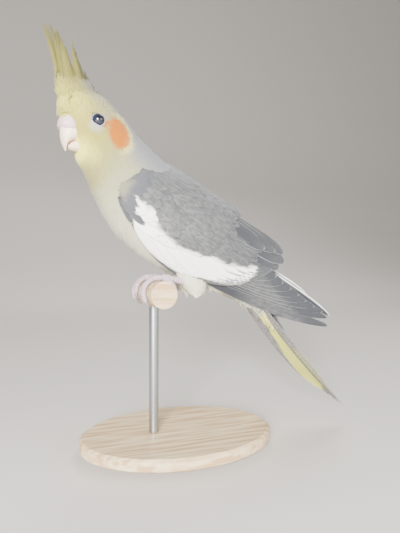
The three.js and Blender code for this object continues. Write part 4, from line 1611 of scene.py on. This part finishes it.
@dataclass
class Bill:
    """Hooked upper bill, short lower bill and the fleshy cere over them."""

    upper: Rows = (
        (-54, 103, -45, 91.4, 6.4), (-61.2, 99.8, -50.6, 90.4, 6.6),
        (-63.2, 95, -54.8, 89, 5.6), (-63.2, 90.6, -58.2, 87.6, 4.2),
        (-62.1, 86.2, -59.8, 85.4, 2.6), (-60.6, 82.4, -60, 82.9, 0.5),
    )
    lower: Rows = (
        (-48, 91, -47.5, 84.2, 4), (-53.4, 90.4, -52.2, 83.4, 4),
        (-57.2, 88.4, -56.3, 83.4, 3.3), (-59.6, 85.8, -59, 84, 1.9),
    )
    cere: Rows = (
        (-55, 105.4, -51.6, 93.6, 6.9), (-59.5, 104.4, -54.4, 92.2, 7.4),
        (-63, 101.8, -57.4, 91.8, 7.1), (-64.6, 98, -61.6, 93.6, 4.9),
    )
    nostril: Triple = (-62.7, 3.5, 101.2)
    nostril_radius: float = 1.1
    cere_middle: Triple = (-57.0, 0.0, 99.0)
    dent_deep: float = 1.1
    rim_high: float = 0.28
    crease_deep: float = 0.16

    def horn(self, name: str, rows: Rows, node: str, under: bool) -> None:
        """Makes one half of the bill.

        Args:
            name: The piece's name.
            rows: Its sections.
            node: The node that it stands for.
            under: True where the painted shade of the gape, where the two halves meet, runs along its
                underside.
        """
        draft, form = Draft(), OvalForm(rows, pose=TURN.whole)
        u, v = down(60, form.last), all_round(48)
        # painted shade along the gape where the two halves meet: under the upper half, over the lower
        low = smooth(-0.55, -0.95, np.cos(v)) if under else smooth(0.6, 0.95, np.cos(v))
        tube(draft, form.at(u, v), along=(u / form.last) ** 2 + 0 * v, line=low * 0.75 + 0 * u)
        paint = Horn(f"{name}_horn", tint("#f0dcc0"), tint("#dcb9a4"), tint("#8c5048")).paint()
        dress(draft.to_object(name, paint), "beak", node)

    def flesh(self) -> None:
        """Makes the cere, with a dent and a raised rim at each nostril, and painted shade in each dent."""
        draft, form = Draft(), OvalForm(self.cere)
        points = form.at(down(70, form.last), all_round(90))
        normal = unit(points - np.array(self.cere_middle))
        nostril_shade = 0 * points[..., 0]
        for side in Side:
            away = np.linalg.norm(points - np.array(self.nostril) * (1, side.value, 1), axis=-1)
            share = away / self.nostril_radius
            rim = self.rim_high * np.exp(-((share - 1.35) / 0.35) ** 2)
            dent = self.dent_deep * (1 - smooth(0.3, 1.0, share))
            points = points + normal * (rim - dent)[..., None]
            # painted shade inside the nostril's dent
            nostril_shade = np.maximum(nostril_shade, 1 - smooth(0.5, 1.0, share))
        crease = self.crease_deep * np.exp(-(points[..., 1] / 0.7) ** 2)
        points = points - normal * crease[..., None]
        tube(draft, TURN.turn(points), line=nostril_shade)
        paint = BareSkin("cere_skin", tint("#dcbcc2"), tint("#a8808a"), 1900.0, 0.3, 0.5, 0.45).paint()
        dress(draft.to_object("cere_flesh", paint), "cere", "cere")

    def build(self) -> None:
        """Makes the three pieces."""
        self.horn("bill_upper", self.upper, "beak_upper", True)
        self.horn("bill_lower", self.lower, "beak_lower", False)
        self.flesh()


@dataclass(frozen=True)
class Tier:
    """A row of like feathers, laid from the lowest to the uppermost.

    Each key holds the root's u and v, the tip's u and v, the half width, the bow, and the height of
    root and tip over the surface; feathers between the keys take values between theirs.
    """

    name: str
    keys: Rows
    count: int
    shape: VaneShape = VaneShape()
    rim: float = 0.4
    stray: float = 0.3
    marks: dict[str, float] = field(default_factory=dict)

    def feathers(self, rng: Random) -> list[Feather]:
        """The row's feathers, each a little different.

        Args:
            rng: Draws the differences.

        Returns:
            The feathers.
        """
        made = []
        for row in curve_through(np.array(self.keys, float), np.linspace(0, 1, self.count)):
            stray = rng.normal(0, self.stray, 2)
            made.append(Feather((row[0], row[1]), (row[2] + stray[0], row[3] + 0.6 * stray[1]), row[4],
                                (row[6], row[7]), row[5], {"rim": self.rim, **self.marks}))
        return made


@dataclass
class Crest:
    """Long narrow feathers, in a front and a rear group, over a bed of short ones."""

    seed: int = SEED + 1
    shape: VaneShape = VaneShape(16, (-1.0, -0.85, -0.1, 0.1, 0.85, 1.0), tip_from=0.3, tip_power=1.6,
                                 thick=0.24, camber=0.12, shaft=0.1, ragged=0.12)
    bed: Rows = (
        (-36, 106.5, -60.6, 100.5, 7.2), (-38, 110, -62.4, 104, 7.4),
        (-41.5, 118.6, -65.2, 112.5, 6.6), (-46.5, 124, -66, 119.5, 4.6),
        (-53, 129, -64.6, 127, 2),
    )
    bed_tufts: tuple[Stretch, ...] = (
        Stretch((0.35, 2), 0.55, 9, 0.45, 0.01, 1.6),
        Stretch((1.8, 3.2), 0.7, 8.5, 0.4, 0.03, 1.6),
        Stretch((0.5, 2.6), 1, 6, 0.45, 0.3, 1, (-0.3 * math.pi, 0.3 * math.pi)),
    )
    fringe: Stretch = Stretch((0.8, 3.5), 0.5, 5, 0.34, 0, 1, (-0.34 * math.pi, 0.34 * math.pi))
    spread: Pair = (6.9, 1.1)
    widest: float = -49.5  # place along the head where the crest's root is widest
    half_long: float = 14.5
    groups: tuple[Tier, ...] = (
        Tier("tips", (
            (107, -64, 151.6, -73.6, 1.1, 2.6, -0.3, 0.1),
            (107.2, -63.8, 153.2, -73.4, 1.1, 2.7, 0.1, 0.3),
            (107.5, -63.2, 152.4, -70.4, 1.2, 2.4, -0.2, -0.3),
            (107.6, -63, 153.8, -70, 1.2, 2.4, 0.3, 0.2),
        ), 5, stray=0.3, rim=0.2),
        Tier("front", (
            (108, -62, 148.4, -67.4, 1.5, 1.8, -0.3, 0.2),
            (109, -60.2, 147.2, -64.8, 1.7, 1.4, 0.2, -0.2),
            (110, -58.2, 143.6, -62.8, 1.8, 1, -0.2, 0.2),
            (111, -55.8, 137.6, -60.6, 1.8, 0.6, 0.1, 0),
            (111.5, -54, 132, -58.6, 1.7, 0.2, 0, 0),
        ), 72, stray=1.1, rim=0.25),
        Tier("spike", (
            (111, -54.5, 149.8, -56.9, 0.8, 0.6, 0, 0),
            (111, -54.5, 149, -57.1, 0.8, 0.6, 0.1, 0.1),
        ), 2, stray=0.1, rim=1.0),
        Tier("rear", (
            (111, -53.5, 142.5, -56.2, 1.4, 0.6, -0.2, 0.1),
            (111, -51.5, 139.6, -54.4, 1.5, 0.7, 0.2, -0.1),
            (111.5, -49.5, 133.8, -52.2, 1.5, 0.7, 0, 0.1),
            (112, -46.5, 128.2, -49.4, 1.5, 0.6, 0.1, 0),
            (112, -43.5, 124.5, -47, 1.5, 0.4, 0, 0),
        ), 52, stray=1.1, rim=0.3),
        Tier("crown", (
            (112, -44, 126, -46.4, 0.8, -0.6, 0, 0),
            (112, -42, 122, -42.6, 0.7, -0.7, 0.1, 0),
            (111.5, -40, 118.4, -39.6, 0.6, -0.6, 0, 0),
        ), 34, stray=0.9, rim=0.3),
    )

    def marks(self, u: Array, v: Array, t: Array, w: Array) -> Masks:
        """Pale yellow below and in front, greyer at the tips, and darker behind: the rear's dusk is partly
        its grey and partly painted shade.

        Args:
            u: Heights.
            v: Places along the head.
            t: Not used.
            w: Not used.

        Returns:
            The masks by name.
        """
        rear = smooth(-58, -49, v)
        high = smooth(118, 150, u)
        # the dusk behind is partly the rear feathers' grey and partly painted shade; at the tips it is their
        # grey
        return {"gold": (1 - rear) * (0.7 - 0.5 * high), "white": 0 * u,
                "dusk": np.clip(0.95 * rear * smooth(116, 128, u) + 0.5 * high, 0, 1)}

    def fluff(self) -> None:
        """The bed of short soft feathers that the long ones rise from."""
        draft, rng = Draft(), np.random.default_rng(self.seed + 1)
        face = OvalForm(self.bed, pose=TURN.whole, facing=-1.0)
        for stretch in self.bed_tufts:
            Coat(depth=1.2, swept=False).grow(draft, face, stretch, (0.0, 4.0), (0.0, 0.49), rng)
        Coat().grow(draft, BODY, self.fringe, (0.0, 5.0), (0.51, 1.0), rng)
        paint = SoftPlumage("crest_plumage", cream=tint("#8d863e"), gold=tint("#c9c05c"),
                            olive_and_shade=tint("#6a6440"), stray=0.2, tips=0.0).paint()
        dress(draft.to_object("coat_crest", paint, mapped=True), "plumage_crest")

    def build(self) -> None:
        """Makes the crest's bed and its long feathers."""
        self.fluff()
        rng, draft, face = np.random.default_rng(self.seed), Draft(), HeadPlane()
        for tier in self.groups:
            for feather in tier.feathers(rng):
                out = 0.15 if tier.name in ("tips", "spike") else 1.0
                aside, (low, high) = out * rng.uniform(-1.0, 1.0), feather.lift
                room = math.sqrt(max(0.1, 1 - ((feather.root[1] - self.widest) / self.half_long) ** 2))
                feather.lift = (low + self.spread[0] * room * aside, high + self.spread[1] * aside)
                lay_vane(draft, face, feather, self.shape, rng, self.marks)
        # the fourth colour is the dusk, which darkens the crest's rear partly as its grey and partly as
        # painted shade
        paint = VanePaint("crest_vanes", tint("#6c6735"), tint("#5f592b"), tint("#7f7b50"), tint("#46442b"),
                          gold=tint("#7d7731"), stray=0.3, barb=0.36, rough=0.75, relief=0.15).paint()
        dress(draft.to_object("crest_feathers", paint, mapped=True), "plumage_crest", "crest")


@dataclass
class Wing:
    """A folded wing: flight feathers under rows of coverts, with the white patch along its lower side."""

    side: Side
    seed: int = SEED + 2
    patch_low: Pairs = (
        (3.8, -0.1), (7.7, -4.6), (13.7, -10.3), (15.3, -15.3), (20.8, -18.2), (32.1, -22.2), (46.6, -25),
        (59.1, -24.9), (65.6, -22.5), (74.3, -19.9), (84.3, -18.3), (90.6, -16), (95.2, -12.6), (98.4, -6),
    )
    patch_high: Pairs = (
        (3.8, 0.1), (9.7, -2.5), (16.2, -1.5), (23.5, -2.9), (26.4, -7.8), (34.9, -10.5), (43.2, -12.5),
        (61.1, -10.5), (67, -7.8), (78.2, -7.3), (88.1, -4), (93.6, -0.6), (96.2, 1.9), (98.4, -2),
    )
    far_edge: Tier = Tier("far edge", (
        (92, 10.5, 173, 0.8, 2.8, 0.8, -2.4, -2.4), (84, 11.5, 150, 6.4, 2.8, 0.6, -2, -2),
    ), 2, VaneShape(20, thick=0.36, camber=0.3, tip_from=0.7), 0.9, 0.1, {"dusk": 1.0})
    upper_gap: Pair = (1.0, 4.5)  # above the lesser coverts, left and right
    scapular_top: Pair = (31.0, 24.0)
    rows_apart: float = 5.2  # between the lesser coverts of a row

    def __post_init__(self) -> None:
        """Lays out the rows, in places down and across the wing."""
        blade = VaneShape(20, thick=0.36, camber=0.4, tip_from=0.62, tip_power=2.0, ragged=0.02)
        broad = VaneShape(16, thick=0.32, camber=0.25, roll=0.25, tip_from=0.66, tip_power=2.2, ragged=0.02)
        soft = VaneShape(10, root=0.6, thick=0.26, camber=0.2, roll=0.3, tip_from=0.5, tip_power=2.0,
                         ragged=0.05)
        self.tiers = (
            Tier("primaries", (
                (44, -22.5, 175, -6.2, 4, -3.6, -3, -2.3),
                (48, -19.5, 170, 0.4, 5, -2.6, -2.7, -1.9),
                (52, -17.5, 159.5, 0.6, 5.4, -1.8, -2.4, -1.48),
                (55, -15, 148, 1, 5.8, -1.2, -2.1, -1.06),
                (58, -12, 137.5, 1.8, 6.2, -1, -1.8, -0.64),
                (60, -10, 126, 2.4, 6.4, -1, -1.5, -0.22),
                (62, -8, 116, 3.6, 6.4, -1, -1.2, 0.2),
            ), 9, blade, 0.9, 0.15),
            Tier("secondaries", (
                (36, -18, 97, -9, 5.4, -5, -0.6, 0.1),
                (42, -14, 102, -4.5, 5.6, -4.6, -0.5, 0.24),
                (48, -8, 106, 0.5, 5.8, -4, -0.4, 0.38),
                (54, -1, 111, 6, 6.4, -2.6, -0.3, 0.52),
            ), 9, broad, 0.8, 0.2, {"dusk": 0.5}),
            Tier("tertials", (
                (58, 6, 116, 10.4, 6.4, -1, -0.4, 0.5),
                (58, 13, 119, 16.2, 6.6, 0, -0.3, 0.8),
                (56, 20, 117, 21.6, 6.2, 1, -0.2, 1),
                (54, 18.5, 109, 18.6, 6.2, 0.6, -0.1, 1.25),
                (52, 16.5, 100, 15.6, 6.2, 0.4, 0, 1.45),
            ), 5, broad, 1.0, 0.2),
            Tier("primary coverts", (
                (2, -4, 30, -18.5, 3, -0.6, -0.6, 0),
                (8, -9, 48, -25.5, 3.2, -1, -0.6, 0),
                (22, -15, 74, -27, 3.6, -1.6, -0.6, -0.2),
            ), 7, soft, 0.4, 0.3, {"dusk": 0.6}),
            Tier("greater coverts", (
                (10, -8, 48, -23.4, 4.6, -1.6, -0.4, 0.55), (20, -10, 61, -23.4, 4.8, -2, -0.4, 0.6),
                (30, -9, 74, -20.2, 5, -2.2, -0.4, 0.65), (41, -5, 85, -14.6, 5.2, -2, -0.4, 0.7),
                (50, 1, 93, -6.4, 5.6, -1.6, -0.4, 0.75), (56, 9, 97, 3, 6, -0.8, -0.4, 0.8),
                (58, 16, 98, 12, 6, 0, -0.4, 0.85),
            ), 15, soft, 0.45, 0.6),
            Tier("median coverts", (
                (4, -4, 32, -14, 5, -1.2, -0.3, 0.8), (16, -3, 48, -13, 5.6, -1.2, -0.3, 0.85),
                (28, 2, 62, -10, 5.8, -1, -0.3, 0.9), (38, 8, 74, -4.4, 6, -0.8, -0.3, 0.95),
                (44, 15, 82, 4.4, 6.2, -0.4, -0.3, 1), (46, 21, 86, 13.6, 6.2, 0, -0.3, 1.05),
            ), 14, soft, 0.4, 0.7),
            Tier("alula", (
                (1, -5, 15, -14.6, 1.8, -0.5, 0, 1.1), (3, -4.6, 21, -11.8, 2.6, -0.6, 0.2, 1.4),
            ), 2, soft, 0.9, 0.1, {"dusk": 0.45}),
        )

    def white(self, u: Array, v: Array) -> Array:
        """The white patch.

        Args:
            u: Places down the wing.
            v: Places across it.

        Returns:
            Its mask.
        """
        low = np.interp(u, *zip(*self.patch_low))
        high = np.interp(u, *zip(*self.patch_high))
        ends = smooth(3.2, 5.0, u) * smooth(99.0, 97.6, u)
        return smooth(-0.5, 0.5, v - low) * smooth(-0.6, 0.6, high - v) * ends

    def lesser(self, rng: Random, face: WingFace) -> list[Feather]:
        """Short rounded coverts in staggered rows over the arm.

        Args:
            rng: Draws their places and sizes.
            face: The wing's face.

        Returns:
            The feathers.
        """
        made = []
        for row, u in enumerate(np.arange(58.0, 6.0, -4.6)):
            low, high = (float(k) for k in face.edge(u))
            low = max(low + 3.0, np.interp(u, (0, 20, 56), (-6.0, -8.0, -2.0)))
            top = high - self.upper_gap[self.side is Side.RIGHT]
            for v in np.arange(low + self.rows_apart / 2 * (row % 2), top, self.rows_apart):
                u0, v0 = u + rng.normal(0, 1.0), v + rng.normal(0, 1.0)
                size = np.interp(u, (0, 56), (12.0, 21.0)) * rng.uniform(0.9, 1.1)
                turn = np.interp(v, (-20, 0, 30), (-0.26, -0.12, 0.0)) + rng.normal(0, 0.05)
                lift = (0.25, 1.05 + 0.008 * (58 - u) + rng.uniform(0, 0.1))
                tip = (u0 - 2 + size, v0 + size * turn)
                made.append(Feather((u0 - 2, v0), tip, rng.uniform(4.2, 5.2), lift, 0.0, {"rim": 0.12}))
        return made

    def scapulars(self, rng: Random) -> list[Feather]:
        """Longer feathers over the upper edge, towards the back.

        Args:
            rng: Draws their lengths.

        Returns:
            The feathers.
        """
        made, top = [], self.scapular_top[self.side is Side.RIGHT]
        for row, u in enumerate((46.0, 38.0, 30.0, 22.0, 14.0, 6.0)):
            for v in np.arange(17.0 + 1.5 * (row % 2), top, 4.2):
                tip = (u + 27.0 + rng.normal(0, 1), v - 3.0 + 0.1 * (v - 17))
                made.append(Feather((u, v), tip, 4.6, (0.2, 1.7 + 0.05 * row), 0.0, {"rim": 0.25}))
        return made

    def build(self) -> None:
        """Makes the wing as one piece."""
        rng, draft, face = np.random.default_rng(self.seed), Draft(), WingFace(self.side)
        soft = VaneShape(9, SMALL, root=0.62, tip_from=0.42, tip_power=2.0, thick=0.22, roll=0.05, shaft=0.0,
                         ragged=0.1)
        edges = (self.far_edge,) if self.side is Side.RIGHT else ()
        rows = [(tier.feathers(rng), tier.shape, tier.name) for tier in (*edges, *self.tiers)]
        rows += [(self.lesser(rng, face), soft, "lesser"), (self.scapulars(rng), soft, "scapulars")]
        for feathers, shape, name in rows:
            for feather in feathers:
                lay_vane(draft, face, feather, shape, rng, self.marker(name, rng.normal(0, 0.7)))
        side = self.side.name.lower()
        greys = tint("#686867"), tint("#4f4f50"), tint("#8a8b89")
        paint = VanePaint(f"wing_vanes_{side}", *greys, edge_from=0.9).paint()
        dress(draft.to_object(f"wing_feathers_{side}", paint, mapped=True), "plumage_wing", f"wing_{side}")

    def marker(self, name: str, jitter: float) -> Marker:
        """The marks of a row's feathers.

        Args:
            name: The row.
            jitter: How far this feather's white strays from the patch's edge.

        Returns:
            What lay_vane takes.
        """
        def marks(u: Array, v: Array, t: Array, w: Array) -> Masks:
            """White and dusk.

            Args:
                u: Places down the wing.
                v: Places across it.
                t: Shares of the feather's length.
                w: Shares of its half width.

            Returns:
                The masks by name.
            """
            white, dusk = 0 * u, 0.35 * smooth(54.0, 86.0, u)
            if name in ("secondaries", "greater coverts", "median coverts", "lesser"):
                white = self.white(u + jitter, v + 0.6 * jitter)
            if name in ("secondaries", "greater coverts"):
                # a grey strip along one edge of each, low on the wing: partly the grey inner web, partly
                # painted shade between the overlapping feathers
                white = white * (1 - 0.85 * smooth(0.7, 0.8, -w) * smooth(74.0, 86.0, u))
            if name == "far edge":
                white = smooth(0.72, 0.8, w)
            if name == "primaries":
                below_patch = smooth(-12.5, -16.0, v) * smooth(112.0, 94.0, u)
                tips = smooth(-7.0, -3.0, v + 0.24 * u - 29.4)
                dusk = np.clip(0.35 + 0.7 * below_patch + 0.5 * tips, 0, 1)
            if name == "tertials":
                dusk = 0.97 - 0.3 * smooth(0.6, 1.0, t)
            return {"white": white, "dusk": dusk}
        return marks


@dataclass
class Tail:
    """Twelve long feathers in a narrow fan, with coverts over and under their roots."""

    seed: int = SEED + 4
    ends: Pairs = ((0.0, 1.4), (8.1, 3.6), (13.2, 5.8), (18.3, 8.0), (23.4, 10.2),
                                             (28.5, 12.4))
    places: Row = (1.6, 4.0, 6.4, 8.8, 11.2, 13.6)
    halves: Row = (3.5, 3.7, 3.9, 4.1, 4.3, 4.5)
    bow: float = 1.6
    lengths: Row = (-4, 8, 20, 34, 48, 60, 70)  # where the coverts' heights are given
    over: Row = (9.0, 8.0, 5.6, 4.2, 2.6, 1.6, 1.5)
    under: Row = (-10.0, -8.8, -5.0, -3.2, -2.6, -2.4, -2.4)
    stripe_low: Pairs = (
        (20, -7.6), (33, -3.7), (48, -1), (60, 0), (88, 0), (102, 0.4), (109, 5.5),
    )
    stripe_high: Pairs = (
        (20, -2.7), (33, 1.8), (48, 7.2), (60, 9), (73, 12.7), (88, 13.4), (102, 11.7),
        (109, 6),
    )

    def long_ones(self, face: TailFace) -> list[Feather]:
        """The twelve tail feathers; the outer ones lie underneath.

        Args:
            face: The tail's sheet.

        Returns:
            The feathers.
        """
        made = []
        for k, (end, y, half) in enumerate(zip(self.ends, self.places, self.halves)):
            for side, lift, width in ((Side.LEFT, 0.15, 0.5), (Side.RIGHT, 0.0, 0.8)):
                root, tip = (8.0 + k, side.value * y * width), (face.length - end[0], side.value * end[1])
                made.append(Feather(root, tip, half, (0.6 - 0.42 * k + lift, 0.9 - 0.5 * k + lift),
                                    side.value * self.bow * k / 5, {"rim": 0.5, "lower": 1.0}))
        return made

    def coverts(self, rng: Random) -> list[Feather]:
        """Rows of softer feathers over and under the root.

        Args:
            rng: Draws their lengths and tips.

        Returns:
            The feathers.
        """
        made = []
        for row, u in enumerate(np.arange(44.0, -6.0, -5.0)):
            wide = np.interp(u, (-6, 8, 22, 44), (8.0, 10.5, 12.5, 9.0))
            over = np.interp(u, (-4, 8, 22, 36, 48, 60), (9.0, 8.0, 5.6, 4.2, 2.6, 1.2))
            under = np.interp(u, (-4, 8, 20, 34), (-10.0, -8.8, -5.0, -3.2))
            for v in np.arange(-0.5 * wide + 1.3 * (row % 2), wide + 0.1, 2.7):
                near, far = (math.sqrt(max(1 - (v * k / (wide + 2.5)) ** 2, 0.05)) for k in (1.0, 0.85))
                for height, low in ((over, False), (under, True)):
                    if low and u > 6:
                        continue
                    length = rng.uniform(12, 16) if low else rng.uniform(17, 21)
                    end = np.interp(u + length, self.lengths, self.under if low else self.over)
                    pale = {"white": 0.25, "barred": 0.7} if low else {"barred": 0.5}
                    made.append(Feather((u, v), (u + length, v * 0.85 + rng.normal(0, 0.7)), 2.4,
                                        (height * near * 0.9, end * far), 0.0, {"rim": 0.5, **pale}))
        return made

    def marks(self, u: Array, v: Array, t: Array, w: Array) -> Masks:
        """A yellow stripe under the right half, barred outside it, and a faint one under the left half.

        Args:
            u: Places down the tail.
            v: Places across it.
            t: Not used.
            w: Not used.

        Returns:
            The masks by name.
        """
        low, high = np.interp(u, *zip(*self.stripe_low)), np.interp(u, *zip(*self.stripe_high))
        stripe = smooth(-0.6, 0.6, v - low) * smooth(-0.6, 0.6, high - v)
        outer = smooth(-0.5, 0.8, v - high) * smooth(40.0, 60.0, u)
        faint = 0.25 * smooth(-3.0, -7.0, v) * smooth(50, 70, u)
        end = smooth(104.0, 122.0, u)
        return {"gold": np.maximum(stripe * smooth(16, 24, u), faint) * (1 - end),
                "barred": 0.5 * (1 - stripe) + 0.2 * outer}

    def build(self) -> None:
        """Makes the tail as one piece."""
        rng, draft, face = np.random.default_rng(self.seed), Draft(), TailFace()
        blade = VaneShape(34, thick=0.36, camber=0.25, tip_from=0.6, tip_power=2.0, ragged=0.03)
        soft = VaneShape(9, SMALL, root=0.6, tip_from=0.4, tip_power=1.8, thick=0.24, camber=0.4, shaft=0.0,
                         ragged=0.12)
        for feather in self.long_ones(face):
            lay_vane(draft, face, feather, blade, rng, self.marks)
        for feather in self.coverts(rng):
            lay_vane(draft, face, feather, soft, rng)
        paint = VanePaint("tail_vanes", tint("#838381"), tint("#48484a"), tint("#bcb8b2"), mottle=0.7,
                          below=tint("#a19b95"), gold=tint("#f9f76e")).paint()
        dress(draft.to_object("tail_feathers", paint, mapped=True), "plumage_tail", "tail")


@dataclass(frozen=True)
class Toe:
    """A toe as an arc round the perch: degrees from its top, forwards positive, and how far it strays."""

    name: str
    start: float
    end: float
    stray: Pair
    radius: float


@dataclass
class Foot:
    """Scaly shank and four toes that grip the perch, two before it and two behind."""

    side: Side
    y: float = 11.0
    perch_x: float = -4.0
    perch_radius: float = 8.0
    gap: float = 0.3
    scute_long: float = 9.5  # degrees round the perch that a scute takes
    shank_scutes: int = 9
    claw_turn: float = 34.0
    claw_back: float = 3.0  # degrees that a claw starts inside its toe
    claw_thick: Pair = (1.15, 0.16)  # radius at its root and its tip
    claw_root: float = 0.72  # height of its root over the perch, in radii of the toe
    claw_tip: float = 0.4
    shank: Rows = ((16, 6, 2.5), (15, 6.6, 2.4), (7, 8.8, 2.1),
                                            (-2.0, 10.6, 2.5))
    toes: tuple[Toe, ...] = (
        Toe("2", -8, 92, (-1.2, 2.6), 1.9),
        Toe("3", -8, 116, (0.8, -4.4), 2),
        Toe("1", 8, -78, (-1, 2.4), 1.8),
        Toe("4", 8, -108, (1, -6), 1.9),
    )

    def arc(self, angle: Any, y: Any, orbit: Any, radius: Any, turn: Array) -> Array:
        """Round sections that ride about the perch.

        Args:
            angle: Degrees from the top of the perch.
            y: Places along it.
            orbit: Distances of the sections' middles from its axis.
            radius: Their radii.
            turn: Angles round each section.

        Returns:
            The points.
        """
        angle, y, orbit, radius, turn = together(angle, y, orbit, radius, turn)
        a = np.radians(angle)
        out = np.stack([-np.sin(a), 0 * a, np.cos(a)], axis=-1)
        middle = np.stack([self.perch_x + 0 * a, y, 0 * a], axis=-1)
        aside = np.array([0, 1.0, 0]) * (radius * np.sin(turn))[..., None]
        return middle + out * (orbit + radius * np.cos(turn))[..., None] + aside

    def toe(self, draft: Draft, toe: Toe) -> None:
        """Adds a toe with scutes along its back and pads underneath.

        Args:
            draft: Takes the toe.
            toe: How it lies.
        """
        t, turn = down(90), all_round(24)
        ridge = (t * round(abs(toe.end) / self.scute_long)) % 1.0
        back, pads = np.clip(np.cos(turn), 0, 1) ** 0.5, np.clip(-np.cos(turn), 0, 1)
        base = toe.radius * (1 - 0.28 * t)
        radius = base * (0.93 + 0.09 * ridge * back + 0.05 * np.sin(t * 9.4) * pads)
        radius = radius * (1 - 0.25 * smooth(0.94, 1.0, t))
        angle = toe.start + (toe.end - toe.start) * t
        y = self.side.value * (self.y - (toe.stray[0] + (toe.stray[1] - toe.stray[0]) * t))
        rings = self.arc(angle, y, self.perch_radius + self.gap + base, radius, turn)
        tube(draft, rings, line=back * smooth(0.9, 1.0, ridge) * 0.8)

    def claw(self, toe: Toe) -> None:
        """Makes the curved claw at a toe's end.

        Args:
            toe: The toe that bears it.
        """
        draft, t, turn = Draft(), down(30), all_round(16)
        start = math.degrees(self.gap / (self.perch_radius + toe.radius)) - self.claw_back
        angle = toe.end + math.copysign(1, toe.end) * (start + (self.claw_turn + self.claw_back) * t)
        thick, thin = self.claw_thick
        radius, root = thick + (thin - thick) * t ** 0.9, toe.radius * self.claw_root
        orbit = self.perch_radius + self.gap + root + (self.claw_tip - root) * t ** 2
        orbit = np.maximum(orbit, self.perch_radius + self.gap + radius)
        rings = self.arc(angle, self.side.value * (self.y - toe.stray[1]), orbit, radius, turn)
        tube(draft, rings, along=t + 0 * turn, line=0 * t * turn)
        name = f"{self.side.name.lower()}_{toe.name}"
        paint = Horn(f"claw_horn_{name}", tint("#8d8084"), tint("#574f53"), tint("#6a6064")).paint()
        dress(draft.to_object(f"claw_horn_{name}", paint), "claw", f"claw_{name}")

    def build(self) -> None:
        """Makes shank, toes and claws."""
        draft, t, turn, name = Draft(), down(60), all_round(28), self.side.name.lower()
        row = curve_through(np.array(self.shank), t[:, 0])
        way = unit(np.gradient(row[:, :2], axis=0))
        ridge, front = (t * self.shank_scutes) % 1.0, np.clip(np.cos(turn), 0, 1) ** 0.5
        radius = row[:, 2:3] * (0.95 + 0.07 * ridge * front)
        x = row[:, 0:1] - way[:, 1:2] * radius * np.cos(turn)
        z = row[:, 1:2] + way[:, 0:1] * radius * np.cos(turn)
        y = self.side.value * self.y + radius * np.sin(turn)
        tube(draft, np.stack([x, y, z], axis=-1), line=front * smooth(0.9, 1.0, ridge) * 0.8)
        for toe in self.toes:
            self.toe(draft, toe)
        paint = BareSkin(f"foot_skin_{name}", tint("#bfaab3"), tint("#866c78"), 1100.0, 0.6).paint()
        dress(draft.to_object(f"foot_skin_{name}", paint), "foot_skin", f"foot_{name}")
        for toe in self.toes:
            self.claw(toe)


@dataclass
class Stand:
    """The plain display stand, whose shapes the frame already holds."""

    wooden: tuple[str, ...] = ("stand_base", "stand_perch")
    steel: str = "stand_rod"

    def build(self, nodes: dict[str, bpy.types.Object]) -> None:
        """Gives the frame's stand its finishes.

        Args:
            nodes: The frame's nodes by name.
        """
        wood, steel = TurnedWood().paint(), BrushedSteel().paint()
        for name in (*self.wooden, self.steel):
            mesh = nodes[name].data
            mesh.materials.clear()
            mesh.materials.append(steel if name == self.steel else wood)
            LOG.info("%s: dressed", name)


@dataclass
class Studio:
    """Camera at the photograph's angle, a swept plain ground and soft light."""

    camera_at: Triple = (-0.0858, -0.2775, 0.1119)
    turn: float = 20.0
    lens: float = 30.26
    ground: Pairs = ((-1500, 0), (250, 0), (800, 70), (1250, 330),
                                               (1540.0, 850.0), (1620.0, 2200.0))
    wide: float = 2600.0
    world: Colour = tint("#f0f0ee")
    world_strength: float = 0.5
    aim: Triple = (0.0, 0.0, 0.14)  # where the lamps point
    lamps: tuple[tuple[str, Triple, float, float], ...] = (
        ("key", (-0.36, -0.74, 0.27), 0.28, 33.0), ("fill", (0.6, -0.6, 0.3), 0.7, 5.0),
        ("rim", (0.35, 0.55, 1.0), 0.6, 8.0),
    )

    def camera(self) -> None:
        """Makes the camera."""
        lens = bpy.data.cameras.new("camera")
        lens.lens, lens.sensor_width = self.lens, 36.0
        lens.clip_start = 0.01
        eye = bpy.data.objects.new("camera", lens)
        eye.location = self.camera_at
        eye.rotation_euler = (math.radians(90), 0.0, -math.radians(self.turn))
        bpy.context.scene.collection.objects.link(eye)
        bpy.context.scene.camera = eye

    def lamp(self, name: str, place: Triple, size: float, power: float) -> None:
        """Hangs a soft lamp that points at the bird.

        Args:
            name: Its name.
            place: Where it hangs, in metres.
            size: Its width.
            power: Its power in watts.
        """
        light = bpy.data.lights.new(name, "AREA")
        light.shape, light.size, light.energy = "DISK", size, power
        lamp = bpy.data.objects.new(name, light)
        lamp.location = place
        target = np.array(self.aim) - np.array(place)
        flat = math.hypot(target[0], target[1])
        lamp.rotation_euler = (math.atan2(flat, -target[2]), 0.0, math.atan2(-target[0], target[1]))
        bpy.context.scene.collection.objects.link(lamp)

    def build(self) -> None:
        """Makes camera, floor, world and lamps."""
        self.camera()
        line = curve_through(np.array(self.ground), np.linspace(0, 1, 48))
        sides = np.array([-self.wide, self.wide])
        points = np.stack(np.broadcast_arrays(sides[None], line[:, :1], line[:, 1:] - 0.02), axis=-1)
        draft = Draft()
        draft.add(points.reshape(-1, 3) - TO_ROW, grid_faces(48, 2))
        draft.to_object("ground", PlainGround().paint())
        world = bpy.data.worlds.new("studio")
        world.use_nodes = True
        sky = world.node_tree.nodes["Background"]
        sky.inputs["Color"].default_value = (*self.world, 1.0)
        sky.inputs["Strength"].default_value = self.world_strength
        bpy.context.scene.world = world
        for lamp in self.lamps:
            self.lamp(*lamp)


def main() -> None:
    """Builds the whole scene in order."""
    logging.basicConfig(level=logging.INFO, format="%(message)s")
    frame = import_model()
    Studio().build()
    Skin().build()
    Coat().build()
    Crest().build()
    Bill().build()
    for side in Side:
        Eye(side).build()
        Wing(side).build()
        Foot(side).build()
    Tail().build()
    Stand().build(frame["nodes"])


if __name__ == "__main__":
    main()
